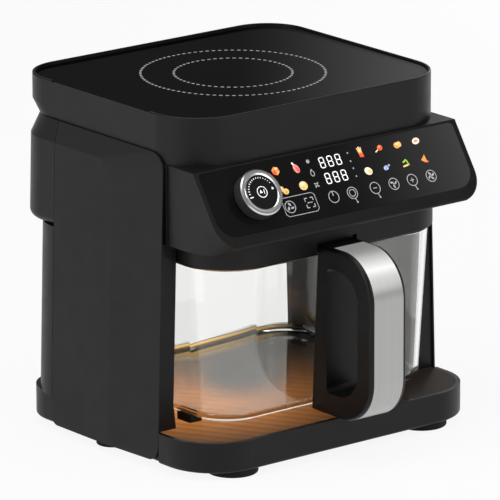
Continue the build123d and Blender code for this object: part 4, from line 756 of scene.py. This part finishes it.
# Marks on the knob: an end bar, a scale of dashes that shrink, a pointer and the play sign
dial = {
    "steps": 15, "start": 180, "sweep": 160, "radius": 14.6, "wide": 2.0, "narrowing": 1.3, "high": 0.8,
    "endBar": ("slab", -13.6, -3.4, 4.2, 1.0, 6), "pointer": ("disc", 13.4, 1.6, 3.4, 3.6, 8, 3),
}
scaleMarks = [stamp("knobFace", *dial["endBar"])]
for index in range(dial["steps"]):
    turn = math.radians(dial["start"] - index * dial["sweep"] / dial["steps"])
    wide = dial["wide"] - dial["narrowing"] * index / dial["steps"]
    x, y = dial["radius"] * math.cos(turn), dial["radius"] * math.sin(turn)
    scaleMarks.append(stamp("knobFace", "slab", x, y, wide, dial["high"], math.degrees(turn)))
scaleMarks.append(stamp("knobFace", *dial["pointer"]))
joinMarks(scaleMarks, "knobScale", "printWhite", "knob")
playMarks = [
    stamp("knobButton", "ring", 0, 0, 11.6, 11.6, 0, 48, 0.7),
    stamp("knobButton", "disc", -1.2, 0.2, 3.8, 4.6, 0, 3),
    stamp("knobButton", "slab", 2.4, 0, 0.8, 4.6, -8),
]
joinMarks(playMarks, "playSign", "printWhite", "button")

# A bright turned ring sits round the knob's black face; its profile is radius and height in millimetres
knobRing = {
    "profile": [
        (17.5, 12.9), (17.5, 13.25), (18.9, 13.95), (19.3, 13.95), (19.5, 13.62), (19.3, 13.2), (18.0, 12.9),
    ],
    "steps": 96, "weld": 0.00001, "smoothUnder": 35,
}


def turnedRing(look, name, finishName, body):
    deselectAll()
    bpy.ops.mesh.primitive_circle_add(vertices=len(look["profile"]), radius=0.001, fill_type="NOTHING")
    ring = bpy.context.active_object
    ring.name = name
    for vertex, (radius, height) in zip(ring.data.vertices, look["profile"]):
        vertex.co = (radius / 1000, 0, height / 1000)
    bpy.ops.object.mode_set(mode="EDIT")
    bpy.ops.mesh.select_all(action="SELECT")
    bpy.ops.mesh.spin(steps=look["steps"], angle=math.tau, center=(0, 0, 0), axis=(0, 0, 1))
    bpy.ops.mesh.select_all(action="SELECT")
    bpy.ops.mesh.remove_doubles(threshold=look["weld"])
    bpy.ops.mesh.normals_make_consistent(inside=False)
    bpy.ops.object.mode_set(mode="OBJECT")
    settle(ring, panelSheet(knobSpot["x"], knobSpot["down"], -slope["glassSink"]))
    bpy.ops.object.shade_smooth_by_angle(angle=math.radians(look["smoothUnder"]))
    ring.data.materials.append(finishes[finishName])
    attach(ring, body)


turnedRing(knobRing, "knobBrightRing", "brightRing", "knob")
print("knob detailed")

# Glass pot: smooth drafted walls, a thick floor and a rounded rim
potGlass = {
    "half": 0.143, "front": -0.10675, "rear": 0.1365, "corner": 0.05, "draft": 0.0085,
    "floor": 0.0455, "rim": 0.1995, "wall": 0.004, "floorThick": 0.0065,
    "footRound": 0.0085, "rimRound": 0.0012,
    "cornerSteps": 20, "footSteps": 6, "rimSteps": 3,
    "floorFrom": 0.5, "floorTo": 1.2, "floorSides": 8, "rimSlack": 0.0004, "steep": 0.5,
    "smoothUnder": 40, "normalWeight": 100,
}


def tub(low, foot):
    deselectAll()
    middle = (potGlass["front"] + potGlass["rear"]) / 2
    bpy.ops.mesh.primitive_plane_add(size=1, location=(0, middle, potGlass["rim"]))
    shell = bpy.context.active_object
    shell.scale = (2 * potGlass["half"], potGlass["rear"] - potGlass["front"], 1)
    bpy.ops.object.transform_apply(location=True, rotation=True, scale=True)
    bpy.ops.object.mode_set(mode="EDIT")
    bpy.ops.mesh.select_all(action="SELECT")
    bpy.ops.mesh.bevel(offset=potGlass["corner"], affect="VERTICES", segments=potGlass["cornerSteps"])
    bpy.ops.mesh.select_all(action="SELECT")
    bpy.ops.mesh.inset(thickness=potGlass["draft"])
    bpy.ops.transform.translate(value=(0, 0, low - potGlass["rim"]))
    bpy.ops.mesh.bevel(offset=foot, affect="EDGES", segments=potGlass["footSteps"])
    bpy.ops.mesh.select_all(action="SELECT")
    bpy.ops.mesh.normals_make_consistent(inside=False)
    bpy.ops.object.mode_set(mode="OBJECT")
    return shell


pot = tub(potGlass["floor"], potGlass["footRound"])
pot.name = "smoothGlassPot"
wall = pot.modifiers.new("wall", "SOLIDIFY")
wall.thickness = potGlass["wall"]
wall.offset = -1.0
wall.use_even_offset = True
bpy.ops.object.modifier_apply(modifier="wall")

# The inner floor is raised to its full thickness
bpy.ops.object.mode_set(mode="EDIT")
bpy.context.tool_settings.mesh_select_mode = (False, False, True)
bpy.ops.mesh.select_all(action="DESELECT")
shape = bmesh.from_edit_mesh(pot.data)
for face in shape.faces:
    rise = (face.calc_center_median().z - potGlass["floor"]) / potGlass["wall"]
    inside = potGlass["floorFrom"] < rise < potGlass["floorTo"]
    face.select_set(inside and len(face.verts) > potGlass["floorSides"])
bmesh.update_edit_mesh(pot.data)
bpy.ops.transform.translate(value=(0, 0, potGlass["floorThick"] - potGlass["wall"]))

# The rim's edges are rounded
bpy.context.tool_settings.mesh_select_mode = (False, True, False)
bpy.ops.mesh.select_all(action="DESELECT")
shape = bmesh.from_edit_mesh(pot.data)
for edge in shape.edges:
    level = all(abs(vertex.co.z - potGlass["rim"]) < potGlass["rimSlack"] for vertex in edge.verts)
    edge.select_set(level and any(abs(face.normal.z) < potGlass["steep"] for face in edge.link_faces))
bmesh.update_edit_mesh(pot.data)
bpy.ops.mesh.bevel(offset=potGlass["rimRound"], affect="EDGES", segments=potGlass["rimSteps"])
bpy.ops.mesh.select_all(action="SELECT")
bpy.ops.mesh.normals_make_consistent(inside=False)
bpy.ops.object.mode_set(mode="OBJECT")
bpy.ops.object.shade_smooth_by_angle(angle=math.radians(potGlass["smoothUnder"]))
evenNormals = pot.modifiers.new("evenNormals", "WEIGHTED_NORMAL")
evenNormals.weight = potGlass["normalWeight"]
evenNormals.keep_sharp = True
bpy.ops.object.modifier_apply(modifier="evenNormals")
pot.data.materials.append(finishes["potGlass"])
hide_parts("glass_pot")
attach(pot, "pot")
print("pot blown,", len(pot.data.polygons), "faces")

# Floor, world and lamps
studio = {
    "floorSize": 30.0,
    "floorWhite": 0.86,
    "floorGlow": 0.9,
    "floorRoughness": 0.9,
    "floorShine": 0.1,
    "airGrey": 0.24,
    "lamps": [
        {"name": "topBox", "size": (1.6, 1.2), "place": (-0.3, -0.3, 1.9), "aim": (0, 0, 0.2), "watts": 18},
        {"name": "leftBox", "size": (1.0, 1.4), "place": (-2.0, 0.1, 0.9), "aim": (0, 0, 0.2), "watts": 16},
        {"name": "frontBox", "size": (1.4, 1.0), "place": (0.6, -2.2, 1.0), "aim": (0, 0, 0.2), "watts": 13},
        {"name": "rightBox", "size": (0.6, 1.4), "place": (1.9, 1.2, 0.9), "aim": (0, 0, 0.25), "watts": 12},
    ],
}


def backgroundRay(tree):
    path = addNode(tree, "ShaderNodeLightPath").outputs
    seen = calc(tree, "MAXIMUM", path["Is Camera Ray"], path["Is Transmission Ray"])
    return calc(tree, "MAXIMUM", seen, path["Is Glossy Ray"])


def makeStudio():
    bpy.ops.mesh.primitive_plane_add(size=studio["floorSize"], location=(0, 0, 0))
    floor = bpy.context.active_object
    floor.name = "studioFloor"
    finish, tree, shader = newFinish("floorWhite")
    white = studio["floorWhite"]
    shader.inputs["Base Color"].default_value = (white, white, white, 1)
    shader.inputs["Roughness"].default_value = studio["floorRoughness"]
    shader.inputs["Specular IOR Level"].default_value = studio["floorShine"]
    glow = addNode(tree, "ShaderNodeEmission", {"Color": (1, 1, 1, 1), "Strength": 1.0})
    share = calc(tree, "MULTIPLY", backgroundRay(tree), studio["floorGlow"])
    both = addNode(tree, "ShaderNodeMixShader", {0: share, 1: shader.outputs[0], 2: glow.outputs[0]})
    tree.links.new(both.outputs[0], tree.nodes["Material Output"].inputs["Surface"])
    floor.data.materials.append(finish)

    world = bpy.data.worlds.new("studioAir")
    bpy.context.scene.world = world
    world.use_nodes = True
    tree = world.node_tree
    seen = addNode(tree, "ShaderNodeLightPath").outputs["Is Camera Ray"]
    clear = addNode(tree, "ShaderNodeLightPath").outputs["Is Transmission Ray"]
    level = spread(tree, calc(tree, "MAXIMUM", seen, clear), studio["airGrey"], 1.0, 0.0, 1.0)
    tree.links.new(level, tree.nodes["Background"].inputs["Strength"])
    tree.nodes["Background"].inputs["Color"].default_value = (1, 1, 1, 1)

    for lamp in studio["lamps"]:
        bpy.ops.object.light_add(type="AREA", location=lamp["place"])
        light = bpy.context.active_object
        light.name = lamp["name"]
        light.data.shape = "RECTANGLE"
        light.data.size, light.data.size_y = lamp["size"]
        light.data.energy = lamp["watts"]
        toward = Vector(lamp["aim"]) - Vector(lamp["place"])
        light.rotation_euler = toward.to_track_quat("-Z", "Y").to_euler()
    bpy.context.scene.view_settings.view_transform = "Standard"


makeStudio()
print("studio lit")
